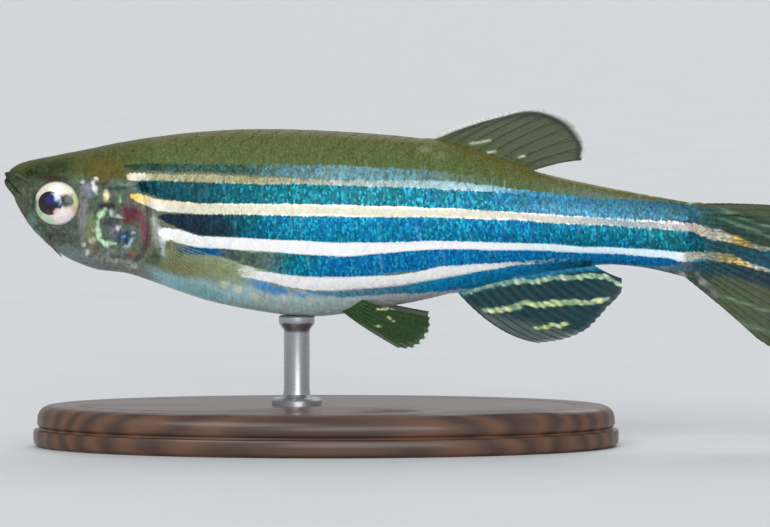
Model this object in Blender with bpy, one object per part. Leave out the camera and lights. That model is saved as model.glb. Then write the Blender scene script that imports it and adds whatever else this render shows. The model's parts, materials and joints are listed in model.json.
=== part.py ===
"""Zebra danio (Danio rerio), a still life-size model held on a plain display stand.

The fish looks along -X and its left side faces -Y. Z is up and the floor is at zero. Shapes are worked
out in millimetres, with x measured back from the tip of the snout and z from a level line through the
flank. set_in_place() then bends the tail, lifts the fish to its height and turns millimetres to metres.
"""

import math

import bmesh
import bpy
import numpy as np
from mathutils import Matrix, Vector

MM = 0.001
GAP = 0.3  # clear space between neighbouring pieces

# Driving sizes of the fish, in millimetres and degrees
STANDARD_LENGTH = 39.65  # snout to the end of the tail stalk
SNOUT_X = -24.6
LEVEL_HEIGHT = 13.0  # of the level line above the floor
HEAD_END = 8.15  # where the head stops at the back and the throat
HEAD_BOW = 0.75  # how much further it reaches at the middle of the flank
HEAD_RINGS = 23
FIRST_HEAD_RING = 0.055  # the share of the rings' count at which the first one stands
HEAD_CROWDING = 1.5  # over 1 the rings crowd towards the snout
HEAD_BOW_START = 0.55
TRUNK_RINGS = 21
TRUNK_BOW_END = 0.35  # the share of the trunk over which the bow fades out
STALK_RINGS = 7
TRUNK_END = 34.2
STALK_BOW = 0.45  # rounding of the end of the tail stalk
TAIL_BEND_START = 22.0
TAIL_BEND_LENGTH = 28.0
TAIL_BEND = -13.0  # heading of the tail's tip, towards the fish's left

# The body's outline from the side: distance from the snout, height over the level line
BACK_LINE = (
    (0.0, 2.6), (0.35, 3.1), (0.92, 3.45), (2.66, 3.84), (5.55, 4.42), (8.44, 4.94), (14.2, 5.43),
    (20.0, 5.26), (23.0, 5.02), (25.2, 4.70), (28.0, 3.86), (30.4, 3.09), (34.5, 2.14), (39.65, 1.21),
)
BELLY_LINE = (
    (0.0, 2.6), (0.35, 1.73), (0.92, 0.58), (2.37, -1.21), (3.82, -2.17), (5.55, -2.77), (6.99, -2.95),
    (8.44, -3.41), (11.33, -4.45), (14.8, -5.20), (18.2, -5.48), (21.2, -5.09), (24.6, -4.45),
    (28.7, -3.38), (33.3, -2.56), (36.5, -2.57), (39.65, -3.24),
)
# Half the body's width, and the height at which it is widest
HALF_WIDTH = (
    (0.0, 0.0), (0.35, 0.82), (0.92, 1.18), (3.06, 1.92), (5.55, 2.42), (8.44, 2.85), (12.0, 3.1),
    (16.0, 3.15), (20.0, 2.98), (24.0, 2.58), (28.0, 2.02), (33.0, 1.38), (36.5, 1.0), (39.65, 0.62),
)
WIDEST_LEVEL = (
    (0.0, 2.6), (0.35, 2.35), (0.92, 1.95), (3.06, 1.2), (6.0, 0.9), (10.0, 0.6), (16.0, 0.35),
    (24.0, 0.2), (30.0, -0.05), (36.0, -0.55), (39.65, -1.0),
)
SIDE_FULLNESS = 0.9  # under 1 the flanks are fuller than an ellipse
RING_POINTS = 36

# The head
EYE_X = 3.06
EYE_Z = 1.16
EYE_RADIUS = 1.32
EYE_HALF_DEPTH = 0.72
EYE_SETBACK = 0.42  # of its centre under the skin
EYE_TURN = 13.0  # forwards, to follow the narrowing snout
SOCKET_GAP = 0.25
MOUTH_TIP = (-0.45, 3.12)
MOUTH_CORNER = (0.98, 1.60)
LIP_TIP = (0.03, 2.58)
JAW_ROOT = (2.6, -2.0)
LIP_RADIUS = 0.2
NOSTRIL_X = 1.5
NOSTRIL_Z = 2.92
NOSTRIL_RADIUS = 0.2
NOSTRIL_DEPTH = 0.3
TUBE_SIDES = 8  # of lips and nostrils

# The gill cover, a thin plate let into the side of the head
COVER_FRONT = 5.5
COVER_END_REACH = 0.9  # from front to rear edge, at its top and foot
COVER_BULGE = 1.85  # added to that at mid height
COVER_TOP_ANGLE = 68.0  # round the section, from the back
COVER_FOOT_ANGLE = 139.0
COVER_PROUD = 0.1
COVER_THICKNESS = 0.5
COVER_SEAT_HEIGHT = 0.6  # how far the cutter for its seat stands out of the skin
COVER_FRONT_BOW = 0.35
COVER_HALF_TURN = 3.2  # the distance for which a margin turns its top and foot by one radian
COVER_STEPS = 8

# Barbels: where the root is, the length straight out, and how far the tip is swept aside
RIM_BARBEL = ((0.75, 2.75), 0.75, (1.2, -0.3, -0.7))
CORNER_BARBEL = ((2.6, -0.72), 0.9, (1.2, 0.0, -0.7))
BARBEL_ROOT_RADIUS = 0.25
BARBEL_TIP_RADIUS = 0.11
BARBEL_SHARES = (0, 0.35, 0.7, 1)  # of its length, where its rings stand
BARBEL_SIDES = 7

# Fins, seen from the side: the line that the rays grow from and the line of their tips
DORSAL_TIPS = ((30.0, 6.6), (31.27, 6.42), (32.4, 6.01), (33.1, 5.32), (33.5, 4.45), (33.2, 3.6))
DORSAL_ROOTS = (24.5, 30.4)
DORSAL_BOW = (0.0, 0.12)  # of the first and last ray, in millimetres
DORSAL_RAYS = 10
ANAL_TIPS = (
    (31.0, -7.0), (32.4, -6.78), (33.9, -6.05), (35.0, -4.85), (35.8, -3.75), (35.75, -3.25),
)
ANAL_ROOTS = (26.2, 33.9)
ANAL_BOW = (0.62, 0.08)
ANAL_RAYS = 16
CAUDAL_RAYS = 20
CAUDAL_TOP_ANGLE = 3.0
CAUDAL_FOOT_ANGLE = -43.0
CAUDAL_LOBE = 10.6
CAUDAL_FORK = 7.7
CAUDAL_EDGE_CUT = 0.42  # the share that the outermost ray is shorter
CAUDAL_ROOT_REACH = 0.97  # the share of the stalk's height that the roots take
CAUDAL_EDGE_START = 0.8
CAUDAL_CURL = 0.35  # how far a ray's tip bends towards the middle
PECTORAL_ROOT_X = 9.6
PECTORAL_ROOTS = (-0.9, -2.1)  # heights
PECTORAL_TIPS = ((13.9, -2.1), (14.3, -2.75), (13.6, -3.5), (12.5, -3.9), (11.3, -3.75))
PECTORAL_SPREAD = 1.9  # how far its tips stand out from the flank
PECTORAL_LIFT = 0.9  # how strongly its rays leave the flank before they sweep back
PECTORAL_RAYS = 11
PELVIC_ROOTS = (19.6, 20.7)
PELVIC_ROOT_ANGLES = (165.0, 146.0)
PELVIC_TIPS = ((22.8, -7.15), (23.7, -7.1), (24.3, -6.6), (24.6, -5.95), (24.6, -5.35))
PELVIC_SPREAD = 1.2
PELVIC_LIFT = 0.25
PELVIC_RAYS = 8
FIN_MEMBRANE = (0.27, 0.1)  # half its thickness, at the root and at the tips
FIN_RAY = (0.40, 0.17)  # the same on a ray
RAY_FOOT = 0.26  # half a ray's width, as a share of the space between rays
MEMBRANE_NOTCH = 0.02  # the share by which it stops short between the rays' tips
FIN_ROWS = 6
PAIRED_KNEE = 0.3  # the share of the way to its tip at which a paired ray sweeps back

# The stand
BASE_CENTRE_X = -6.0
BASE_HALF_LENGTH = 17.0
BASE_HALF_WIDTH = 8.4
BASE_HEIGHT = 2.4
BASE_EDGE = 0.5
BASE_SIDES = 48
ROD_X = 16.9  # from the snout
ROD_RADIUS = 0.75
ROD_SIDES = 16


def natural_cubic(knots, values):
    """The smooth curve through values at knots, as a function. Values may be numbers or points."""
    knots = np.asarray(knots, float)
    values = np.asarray(values, float)
    last = len(knots) - 1
    step = np.diff(knots)
    slopes = (np.diff(values, axis=0).T / step).T
    system = np.eye(last + 1)
    bends = np.zeros_like(values)
    for i in range(1, last):
        system[i, i - 1 : i + 2] = step[i - 1], 2 * (step[i - 1] + step[i]), step[i]
        bends[i] = 6 * (slopes[i] - slopes[i - 1])
    bends = np.linalg.solve(system, bends)

    def at(where):
        where = np.clip(np.asarray(where, float), knots[0], knots[-1])
        i = np.clip(np.searchsorted(knots, where) - 1, 0, last - 1)
        before, after = (knots[i + 1] - where) / step[i], (where - knots[i]) / step[i]
        cubic = step[i] ** 2 / 6
        parts = (before, after, (before**3 - before) * cubic, (after**3 - after) * cubic)
        terms = (values[i], values[i + 1], bends[i], bends[i + 1])
        return sum((p * t.T).T for p, t in zip(parts, terms))

    return at


def along_body(points):
    """A profile by distance from the snout. Taking the distance's root keeps the snout blunt."""
    distances, values = zip(*points)
    curve = natural_cubic(np.sqrt(distances), values)
    return lambda x: curve(np.sqrt(np.clip(x, 0, None)))


def through(points):
    """The smooth line through points of the side view, as a function of a share from 0 to 1."""
    points = np.array(points, float)
    reach = np.concatenate([[0], np.cumsum(np.linalg.norm(np.diff(points, axis=0), axis=1))])
    return natural_cubic(reach / reach[-1], points)


back_line = along_body(BACK_LINE)
belly_line = along_body(BELLY_LINE)
half_width = along_body(HALF_WIDTH)
widest_level = along_body(WIDEST_LEVEL)


def flank(x, angle):
    """The body's surface at a distance from the snout and an angle from the back, in radians.
    The fish's left side has angles from 0 to pi."""
    x, angle = np.broadcast_arrays(np.asarray(x, float), np.asarray(angle, float))
    rise, out = np.cos(angle), np.sin(angle)
    level = widest_level(x)
    height = np.where(rise > 0, back_line(x) - level, level - belly_line(x))
    y = -half_width(x) * np.sign(out) * np.abs(out) ** SIDE_FULLNESS
    return np.stack([x, y, level + height * rise], axis=-1)


def flank_normal(x, angle):
    """The direction straight out of the body's surface."""
    small = 0.01
    ahead = flank(x + small, angle) - flank(x - small, angle)
    round_it = flank(x, angle + small) - flank(x, angle - small)
    out = np.cross(round_it, ahead)
    return out / np.linalg.norm(out, axis=-1, keepdims=True)


def angle_at(x, z):
    """The angle at which the fish's left side has the height z."""
    level = float(widest_level(x))
    if z > level:
        return math.acos(min(1.0, (z - level) / (float(back_line(x)) - level)))
    return math.pi - math.acos(min(1.0, (level - z) / (level - float(belly_line(x)))))


def tail_bend():
    """The line that the body's middle follows from above, as distance, x and y."""
    distance = np.linspace(0, 60, 1201)
    share = np.clip((distance - TAIL_BEND_START) / TAIL_BEND_LENGTH, 0, 1)
    heading = math.radians(TAIL_BEND) * share**2
    step = distance[1] - distance[0]
    along = np.concatenate([[0], np.cumsum(np.cos(heading[:-1]) * step)])
    aside = np.concatenate([[0], np.cumsum(np.sin(heading[:-1]) * step)])
    return distance, along, aside, heading


BEND = tail_bend()


def set_in_place(points):
    """Turns points of the straight fish, in millimetres, to the bent fish on its stand, in metres."""
    points = np.asarray(points, float)
    distance, along, aside, heading = BEND
    x, y, z = points.T
    turn = np.interp(x, distance, heading)
    centre_x = np.interp(x, distance, along) + np.minimum(x, 0)
    centre_y = np.interp(x, distance, aside)
    placed = (
        SNOUT_X + centre_x - y * np.sin(turn),
        centre_y + y * np.cos(turn),
        LEVEL_HEIGHT + z,
    )
    return np.stack(placed, axis=-1) * MM


def material(name, colour, roughness, metallic=0.0):
    made = bpy.data.materials.new(name)
    made.use_nodes = True
    shader = made.node_tree.nodes["Principled BSDF"]
    shader.inputs["Base Color"].default_value = (*colour, 1.0)
    shader.inputs["Roughness"].default_value = roughness
    shader.inputs["Metallic"].default_value = metallic
    return made


def solid(name, points, faces, finish):
    """One object from points in metres and faces, turned to face outwards."""
    mesh = bpy.data.meshes.new(name)
    mesh.from_pydata([tuple(p) for p in points], [], faces)
    work = bmesh.new()
    work.from_mesh(mesh)
    bmesh.ops.recalc_face_normals(work, faces=work.faces)
    work.to_mesh(mesh)
    work.free()
    mesh.materials.append(finish)
    made = bpy.data.objects.new(name, mesh)
    bpy.context.scene.collection.objects.link(made)
    return made


def keep_largest(made):
    """Drops all but the closed surface with the most faces, after a Boolean."""
    work = bmesh.new()
    work.from_mesh(made.data)
    left, shells = set(work.faces), []
    while left:
        shell, edge = set(), [left.pop()]
        while edge:
            face = edge.pop()
            shell.add(face)
            near = {other for e in face.edges for other in e.link_faces} & left
            left -= near
            edge.extend(near)
        shells.append(shell)
    largest = max(shells, key=len)
    spare = [face for face in work.faces if face not in largest]
    bmesh.ops.delete(work, geom=spare, context="FACES")
    work.to_mesh(made.data)
    work.free()


def combine(made, operation, others):
    """Joins the other solids to this one or cuts them from it, and removes them."""
    group = bpy.data.collections.new("tools")
    for other in others:
        bpy.context.scene.collection.objects.unlink(other)
        group.objects.link(other)
    bpy.context.scene.collection.children.link(group)
    boolean = made.modifiers.new(operation.lower(), "BOOLEAN")
    boolean.operation = operation
    boolean.operand_type = "COLLECTION"
    boolean.collection = group
    boolean.solver = "EXACT"
    bpy.context.view_layer.update()
    graph = bpy.context.evaluated_depsgraph_get()
    joined = bpy.data.meshes.new_from_object(made.evaluated_get(graph))
    made.modifiers.clear()
    made.data = joined
    for other in others:
        bpy.data.objects.remove(other)
    bpy.data.collections.remove(group)
    keep_largest(made)


def round_mesh(made, angle=40.0):
    made.data.shade_smooth()
    made.data.set_sharp_from_angle(angle=math.radians(angle))


def ladder(start, count, flip):
    """Closes a ring of points with rungs from its left side to its right."""
    half = count // 2
    rungs = [(start, start + 1, start + count - 1)]
    for i in range(1, half - 1):
        rungs.append((start + i, start + i + 1, start + count - i - 1, start + count - i))
    rungs.append((start + half - 1, start + half, start + half + 1))
    return [rung[::-1] for rung in rungs] if flip else rungs


def body_length(name, rings, front_point, finish):
    """A stretch of the body from rings of (distance, bow). The bow pushes a ring back at mid height."""
    angles = np.linspace(0, 2 * math.pi, RING_POINTS, endpoint=False)
    sections = [flank(x + bow * np.sin(angles) ** 2, angles) for x, bow in rings]
    points = [p for section in sections for p in section]
    faces = []
    for i in range(len(rings) - 1):
        for j in range(RING_POINTS):
            a, b = i * RING_POINTS + j, i * RING_POINTS + (j + 1) % RING_POINTS
            faces.append((a, b, b + RING_POINTS, a + RING_POINTS))
    if front_point:
        tip = len(points)
        points.append(flank(0.0, 0.0))
        faces += [(tip, (j + 1) % RING_POINTS, j) for j in range(RING_POINTS)]
    else:
        faces += ladder(0, RING_POINTS, True)
    faces += ladder((len(rings) - 1) * RING_POINTS, RING_POINTS, False)
    return solid(name, set_in_place(points), faces, finish)


def head_rings():
    """Close together at the snout, and bowed more and more towards the gill opening."""
    shares = np.linspace(FIRST_HEAD_RING, 1, HEAD_RINGS)
    bowed = np.clip((shares - HEAD_BOW_START) / (1 - HEAD_BOW_START), 0, 1)
    return [(HEAD_END * s**HEAD_CROWDING, HEAD_BOW * b**2) for s, b in zip(shares, bowed)]


def trunk_rings():
    start = HEAD_END + GAP
    shares = np.linspace(0, 1, TRUNK_RINGS)
    fade = np.clip(1 - shares / TRUNK_BOW_END, 0, 1) ** 2
    return [(start + (TRUNK_END - start) * s, HEAD_BOW * f) for s, f in zip(shares, fade)]


def stalk_rings():
    start = TRUNK_END + GAP
    end = STANDARD_LENGTH - STALK_BOW
    shares = np.linspace(0, 1, STALK_RINGS)
    return [(start + (end - start) * s, STALK_BOW * s**2) for s in shares]


def ellipsoid(name, centre, axes, turn, finish, around=20, rows=12):
    """A flattened ball in millimetres. The turn is about the upright axis, in degrees."""
    work = bmesh.new()
    bmesh.ops.create_uvsphere(work, u_segments=around, v_segments=rows, radius=1.0)
    upright_to_side = Matrix.Rotation(math.pi / 2, 4, "X")
    shape = Matrix.Diagonal((*axes, 1)) @ upright_to_side
    shape = Matrix.Rotation(math.radians(turn), 4, "Z") @ shape
    bmesh.ops.transform(work, matrix=Matrix.Translation(centre) @ shape, verts=work.verts)
    points = [tuple(v.co) for v in work.verts]
    faces = [tuple(v.index for v in f.verts) for f in work.faces]
    work.free()
    return solid(name, set_in_place(points), faces, finish)


def eye_centre(side):
    """Under the skin of one side. The left side is -1 and the right is 1."""
    angle = angle_at(EYE_X, EYE_Z)
    surface = flank(EYE_X, angle) - flank_normal(EYE_X, angle) * EYE_SETBACK
    return Vector((surface[0], -side * surface[1], surface[2]))


def eyeball(name, side, finish, margin=0.0):
    axes = (EYE_RADIUS + margin, EYE_HALF_DEPTH + margin, EYE_RADIUS + margin)
    return ellipsoid(name, eye_centre(side), axes, side * EYE_TURN, finish)


def tube(name, path, radii, sides, finish):
    """A round rod along points in millimetres, with a radius at each."""
    path = [Vector(p) for p in path]
    points, faces = [], []
    across = None
    for i, p in enumerate(path):
        ahead = (path[min(i + 1, len(path) - 1)] - path[max(i - 1, 0)]).normalized()
        if across is None:
            across = ahead.orthogonal().normalized()
        across = (across - ahead * across.dot(ahead)).normalized()
        over = ahead.cross(across)
        for j in range(sides):
            turn = 2 * math.pi * j / sides
            points.append(p + (across * math.cos(turn) + over * math.sin(turn)) * radii[i])
    for i in range(len(path) - 1):
        for j in range(sides):
            a, b = i * sides + j, i * sides + (j + 1) % sides
            faces.append((a, b, b + sides, a + sides))
    faces.append(tuple(range(sides))[::-1])
    faces.append(tuple(range((len(path) - 1) * sides, len(path) * sides)))
    return solid(name, set_in_place(points), faces, finish)


def lip(name, offset, finish):
    """A soft roll along one edge of the mouth, from the left corner round the tip to the right one."""
    tip, corner = np.array(LIP_TIP), np.array(MOUTH_CORNER)
    across = np.array((tip[1] - corner[1], corner[0] - tip[0]))
    shift = across / np.linalg.norm(across) * offset
    left = []
    for share in np.linspace(0, 1, 7)[:-1]:
        x, z = corner + (tip - corner) * math.sin(share * math.pi / 2) + shift
        x = max(x, 0.02)
        z = min(max(z, float(belly_line(x)) + 0.01), float(back_line(x)) - 0.01)
        left.append(flank(x, angle_at(x, z)))
    middle = left[-1] * (1, 0, 1)
    path = [*left, middle, *[p * (1, -1, 1) for p in reversed(left)]]
    radii = [LIP_RADIUS * 0.55] + [LIP_RADIUS] * (len(path) - 2) + [LIP_RADIUS * 0.55]
    return tube(name, path, radii, TUBE_SIDES, finish)


def jaw_space(margin, finish):
    """The block that holds the lower jaw, grown by a margin over the mouth and behind the jaw."""
    tip, corner, root = np.array(MOUTH_TIP), np.array(MOUTH_CORNER), np.array(JAW_ROOT)
    over = np.array((tip[1] - corner[1], corner[0] - tip[0]))
    behind = np.array((corner[1] - root[1], root[0] - corner[0]))
    over, behind = over / np.linalg.norm(over), behind / np.linalg.norm(behind)
    outline = (
        tip + over * margin,
        corner + (over + behind) * margin / (1 + over @ behind),
        root + behind * margin,
        np.array((tip[0], root[1])),
    )
    points = [(x, y, z) for y in (-3.0, 3.0) for x, z in outline]
    faces = [(0, 1, 2, 3), (7, 6, 5, 4)]
    faces += [(i, (i + 1) % 4, (i + 1) % 4 + 4, i + 4) for i in range(4)]
    return solid("jaw_space", set_in_place(points), faces, finish)


def nostril_pit(side, finish):
    angle = angle_at(NOSTRIL_X, NOSTRIL_Z)
    surface, out = flank(NOSTRIL_X, angle), flank_normal(NOSTRIL_X, angle)
    flip = np.array((1, -side, 1))
    path = [(surface + out * depth) * flip for depth in (-NOSTRIL_DEPTH, 0, NOSTRIL_DEPTH)]
    radii = [NOSTRIL_RADIUS * 0.7, NOSTRIL_RADIUS, NOSTRIL_RADIUS * 1.3]
    return tube("nostril_pit", path, radii, TUBE_SIDES, finish)


def cover_plate(name, side, finish, margin, inner, outer):
    """The gill cover's plate between two depths from the skin, grown by a margin all round."""
    steps = COVER_STEPS
    points = []
    for depth in (inner, outer):
        for i in range(steps + 1):
            v = i / steps
            start, end = math.radians(COVER_TOP_ANGLE), math.radians(COVER_FOOT_ANGLE)
            reach = COVER_END_REACH + COVER_BULGE * math.sin(math.pi * v) ** 0.6
            half_turn = margin / COVER_HALF_TURN * (2 * v - 1)
            angle = start + (end - start) * v + half_turn
            for j in range(steps + 1):
                u = j / steps
                front = COVER_FRONT + COVER_FRONT_BOW * math.sin(math.pi * v) ** 2
                x = front + u * (COVER_FRONT + reach - front) + margin * (2 * u - 1)
                p = flank(x, angle) + flank_normal(x, angle) * depth
                points.append(p * (1, -side, 1))
    row, layer = steps + 1, (steps + 1) ** 2
    faces = []
    for i in range(steps):
        for j in range(steps):
            a = i * row + j
            corners = (a, a + 1, a + row + 1, a + row)
            for first, second in ((0, 2), (2, 0)):
                triangle = (corners[first], corners[(first + 1) % 4], corners[second])
                faces.append(triangle)
                faces.append(tuple(c + layer for c in reversed(triangle)))
    rim = list(range(steps))
    rim += [steps + i * row for i in range(steps)]
    rim += [steps * row + steps - j for j in range(steps)]
    rim += [(steps - i) * row for i in range(steps)]
    for a, b in zip(rim, rim[1:] + rim[:1]):
        faces += [(b, a, a + layer), (b, a + layer, b + layer)]
    return solid(name, set_in_place(points), faces, finish)


def head_and_jaw(finish):
    made = body_length("head", head_rings(), True, finish)
    lips = [lip("upper_lip", LIP_RADIUS * 1.4, finish), lip("lower_lip", -LIP_RADIUS * 1.4, finish)]
    combine(made, "UNION", lips)
    jaw = bpy.data.objects.new("lower_jaw", made.data.copy())
    bpy.context.scene.collection.objects.link(jaw)
    combine(jaw, "INTERSECT", [jaw_space(-GAP / 2, finish)])
    round_mesh(jaw)
    cuts = [jaw_space(GAP / 2, finish)]
    for side in (-1, 1):
        cuts.append(eyeball("socket", side, finish, SOCKET_GAP))
        cuts.append(nostril_pit(side, finish))
        depth = COVER_PROUD - COVER_THICKNESS - GAP
        cuts.append(cover_plate("cover_seat", side, finish, GAP, depth, COVER_SEAT_HEIGHT))
    combine(made, "DIFFERENCE", cuts)
    round_mesh(made)


def barbel(name, side, shape, finish):
    """A short feeler that starts straight out of the skin and is swept aside towards its tip."""
    (root_x, root_z), length, sweep = shape
    angle = angle_at(root_x, root_z)
    out = flank_normal(root_x, angle)
    root = flank(root_x, angle) + out * GAP
    path, radii = [], []
    for t in BARBEL_SHARES:
        p = root + out * length * t + np.array(sweep) * t**2
        path.append(p * (1, -side, 1))
        radii.append(BARBEL_ROOT_RADIUS + (BARBEL_TIP_RADIUS - BARBEL_ROOT_RADIUS) * t)
    round_mesh(tube(name, path, radii, BARBEL_SIDES, finish))


def fin(name, ray_at, count, finish, side=1):
    """A fin with raised rays. ray_at(share, t) gives the points of the rays at a share of their length."""
    rows = np.linspace(0, 1, FIN_ROWS + 1)
    shares = np.linspace(0, 1, count)

    def sheet(notch):
        return np.array([[ray_at(s, t * (1 - notch)) for t in rows] for s in shares])

    crests, feet = sheet(0.0), sheet(MEMBRANE_NOTCH)
    before = np.concatenate([2 * feet[:1] - feet[1:2], feet[:-1]])
    after = np.concatenate([feet[1:], 2 * feet[-1:] - feet[-2:-1]])
    columns, half = [], []
    membrane = np.interp(rows, (0, 1), FIN_MEMBRANE)
    ray = np.interp(rows, (0, 1), FIN_RAY)
    for i in range(count):
        columns += [feet[i] + (before[i] - feet[i]) * RAY_FOOT, crests[i]]
        columns += [feet[i] + (after[i] - feet[i]) * RAY_FOOT]
        half += [membrane, ray, membrane]
    columns, half = np.array(columns), np.array(half)[..., None]
    normal = np.cross(np.gradient(columns, axis=1), np.gradient(columns, axis=0))
    normal /= np.linalg.norm(normal, axis=-1, keepdims=True)
    faces_of = (columns + normal * half, columns - normal * half)
    points = np.concatenate([f.reshape(-1, 3) for f in faces_of]) * (1, side, 1)
    return solid(name, set_in_place(points), sheet_faces(len(columns), len(rows)), finish)


def sheet_faces(columns, rows):
    """Triangles of two facing sheets, split alike, and of the rim that joins them."""
    layer = columns * rows
    faces = []
    for c in range(columns - 1):
        for r in range(rows - 1):
            a = c * rows + r
            for triangle in ((a, a + rows, a + rows + 1), (a, a + rows + 1, a + 1)):
                faces.append(triangle)
                faces.append(tuple(i + layer for i in reversed(triangle)))
    rim = [c * rows for c in range(columns - 1)]
    rim += [(columns - 1) * rows + r for r in range(rows - 1)]
    rim += [c * rows + rows - 1 for c in range(columns - 1, 0, -1)]
    rim += list(range(rows - 1, 0, -1))
    for a, b in zip(rim, rim[1:] + rim[:1]):
        faces += [(b, a, a + layer), (b, a + layer, b + layer)]
    return faces


def median_fin(name, line, line_side, roots, tips, bow, count, finish):
    """A fin in the fish's middle plane that grows from its back (line_side 1) or belly (-1)."""
    tip_line = through(tips)

    def ray_at(share, t):
        x = roots[0] + (roots[1] - roots[0]) * share
        z = float(line(x)) + line_side * GAP
        tip_x, tip_z = tip_line(share)
        lift = line_side * (bow[0] + (bow[1] - bow[0]) * share) * 4 * t * (1 - t)
        return np.array((x + (tip_x - x) * t, 0.0, z + (tip_z - z) * t + lift))

    return fin(name, ray_at, count, finish)


def caudal_fin(finish):
    """The tail fin: a fan from the end of the tail stalk, with two lobes and a shallow fork."""
    end = STANDARD_LENGTH - STALK_BOW

    def ray_at(share, t):
        spread = 1 - 2 * share
        angle = math.acos(spread * CAUDAL_ROOT_REACH)
        root = flank(end + STALK_BOW * math.sin(angle) ** 2, angle) * (1, 0, 1)
        root = root + (GAP, 0, 0)
        middle = (CAUDAL_TOP_ANGLE + CAUDAL_FOOT_ANGLE) / 2
        heading = math.radians(middle + spread * (CAUDAL_TOP_ANGLE - middle))
        edge = max(0.0, (abs(spread) - CAUDAL_EDGE_START) / (1 - CAUDAL_EDGE_START))
        reach = CAUDAL_FORK + (CAUDAL_LOBE - CAUDAL_FORK) * abs(spread) ** 1.4
        reach *= 1 - CAUDAL_EDGE_CUT * edge**1.5
        curl = -spread * CAUDAL_CURL * t * t
        return root + np.array((math.cos(heading), 0, math.sin(heading))) * reach * t + (0, 0, curl)

    return fin("caudal_fin", ray_at, CAUDAL_RAYS, finish)


def paired_fin(name, side, root_of, tips, spread, lift, count, finish):
    """A fin of one side. Its rays lift off the skin, then sweep back to tips that stand out."""
    tip_line = through(tips)

    def ray_at(share, t):
        x, angle = root_of(share)
        surface, out = flank(x, angle), flank_normal(x, angle)
        root = surface + out * GAP
        tip_x, tip_z = tip_line(share)
        tip = np.array((tip_x, surface[1] - spread, tip_z))
        knee = root + out * lift + (tip - root) * PAIRED_KNEE
        return (1 - t) ** 2 * root + 2 * t * (1 - t) * knee + t**2 * tip

    return fin(name, ray_at, count, finish, -side)


def pectoral_root(share):
    height = PECTORAL_ROOTS[0] + (PECTORAL_ROOTS[1] - PECTORAL_ROOTS[0]) * share
    return PECTORAL_ROOT_X, angle_at(PECTORAL_ROOT_X, height)


def pelvic_root(share):
    x = PELVIC_ROOTS[0] + (PELVIC_ROOTS[1] - PELVIC_ROOTS[0]) * share
    first, last = PELVIC_ROOT_ANGLES
    return x, math.radians(first + (last - first) * share)


def stand_base(finish):
    """An oval plate with a softened upper edge, flat underneath."""
    edge_steps = 4
    rings = [(0.0, 0.0)]
    for i in range(edge_steps + 1):
        turn = math.pi / 2 * i / edge_steps
        inset = BASE_EDGE * (1 - math.cos(turn))
        rings.append((inset, BASE_HEIGHT - BASE_EDGE + BASE_EDGE * math.sin(turn)))
    points = []
    for inset, z in rings:
        for j in range(BASE_SIDES):
            turn = 2 * math.pi * j / BASE_SIDES
            x = BASE_CENTRE_X + (BASE_HALF_LENGTH - inset) * math.cos(turn)
            points.append((x * MM, (BASE_HALF_WIDTH - inset) * math.sin(turn) * MM, z * MM))
    faces = [tuple(range(BASE_SIDES))[::-1]]
    for i in range(len(rings) - 1):
        for j in range(BASE_SIDES):
            a, b = i * BASE_SIDES + j, i * BASE_SIDES + (j + 1) % BASE_SIDES
            faces.append((a, b, b + BASE_SIDES, a + BASE_SIDES))
    top = (len(rings) - 1) * BASE_SIDES
    faces.append(tuple(range(top, top + BASE_SIDES)))
    round_mesh(solid("stand_base", points, faces, finish))


def stand_rod(finish):
    """An upright rod from just over the base to just under the belly, its top cut to the belly's slope."""
    x, floor = ROD_X, BASE_HEIGHT + GAP - LEVEL_HEIGHT
    points, faces = [], []
    for level in (0, 1):
        for j in range(ROD_SIDES):
            turn = 2 * math.pi * j / ROD_SIDES
            px, py = x + ROD_RADIUS * math.cos(turn), ROD_RADIUS * math.sin(turn)
            under = float(belly_line(px)) - GAP
            points.append((px, py, under if level else floor))
    for j in range(ROD_SIDES):
        k = (j + 1) % ROD_SIDES
        faces.append((j, k, k + ROD_SIDES, j + ROD_SIDES))
    faces.append(tuple(range(ROD_SIDES))[::-1])
    middle = len(points)
    points.append((x, 0, float(belly_line(x)) - GAP))
    faces += [(middle, ROD_SIDES + j, ROD_SIDES + (j + 1) % ROD_SIDES) for j in range(ROD_SIDES)]
    round_mesh(solid("stand_rod", set_in_place(points), faces, finish))


def main():
    for old in list(bpy.data.objects):
        bpy.data.objects.remove(old)
    skin = material("skin", (0.16, 0.32, 0.42), 0.35, 0.3)
    plate = material("gill_cover", (0.45, 0.42, 0.40), 0.3, 0.4)
    eye = material("eye", (0.72, 0.70, 0.55), 0.1, 0.5)
    membrane = material("fin", (0.38, 0.42, 0.38), 0.35)
    wood = material("stand_wood", (0.10, 0.06, 0.04), 0.45)
    steel = material("stand_steel", (0.55, 0.55, 0.56), 0.3, 1.0)

    head_and_jaw(skin)
    round_mesh(body_length("trunk", trunk_rings(), False, skin))
    round_mesh(body_length("tail_stalk", stalk_rings(), False, skin))
    for label, side in (("left", -1), ("right", 1)):
        round_mesh(eyeball(f"eye_{label}", side, eye))
        inner = COVER_PROUD - COVER_THICKNESS
        cover = cover_plate(f"gill_cover_{label}", side, plate, 0.0, inner, COVER_PROUD)
        round_mesh(cover)
        barbel(f"barbel_rim_{label}", side, RIM_BARBEL, skin)
        barbel(f"barbel_corner_{label}", side, CORNER_BARBEL, skin)
        paired_fin(
            f"pectoral_fin_{label}", side, pectoral_root, PECTORAL_TIPS, PECTORAL_SPREAD,
            PECTORAL_LIFT, PECTORAL_RAYS, membrane,
        )
        paired_fin(
            f"pelvic_fin_{label}", side, pelvic_root, PELVIC_TIPS, PELVIC_SPREAD,
            PELVIC_LIFT, PELVIC_RAYS, membrane,
        )
    median_fin(
        "dorsal_fin", back_line, 1, DORSAL_ROOTS, DORSAL_TIPS, DORSAL_BOW, DORSAL_RAYS, membrane
    )
    median_fin("anal_fin", belly_line, -1, ANAL_ROOTS, ANAL_TIPS, ANAL_BOW, ANAL_RAYS, membrane)
    caudal_fin(membrane)
    stand_base(wood)
    stand_rod(steel)


main()
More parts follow.
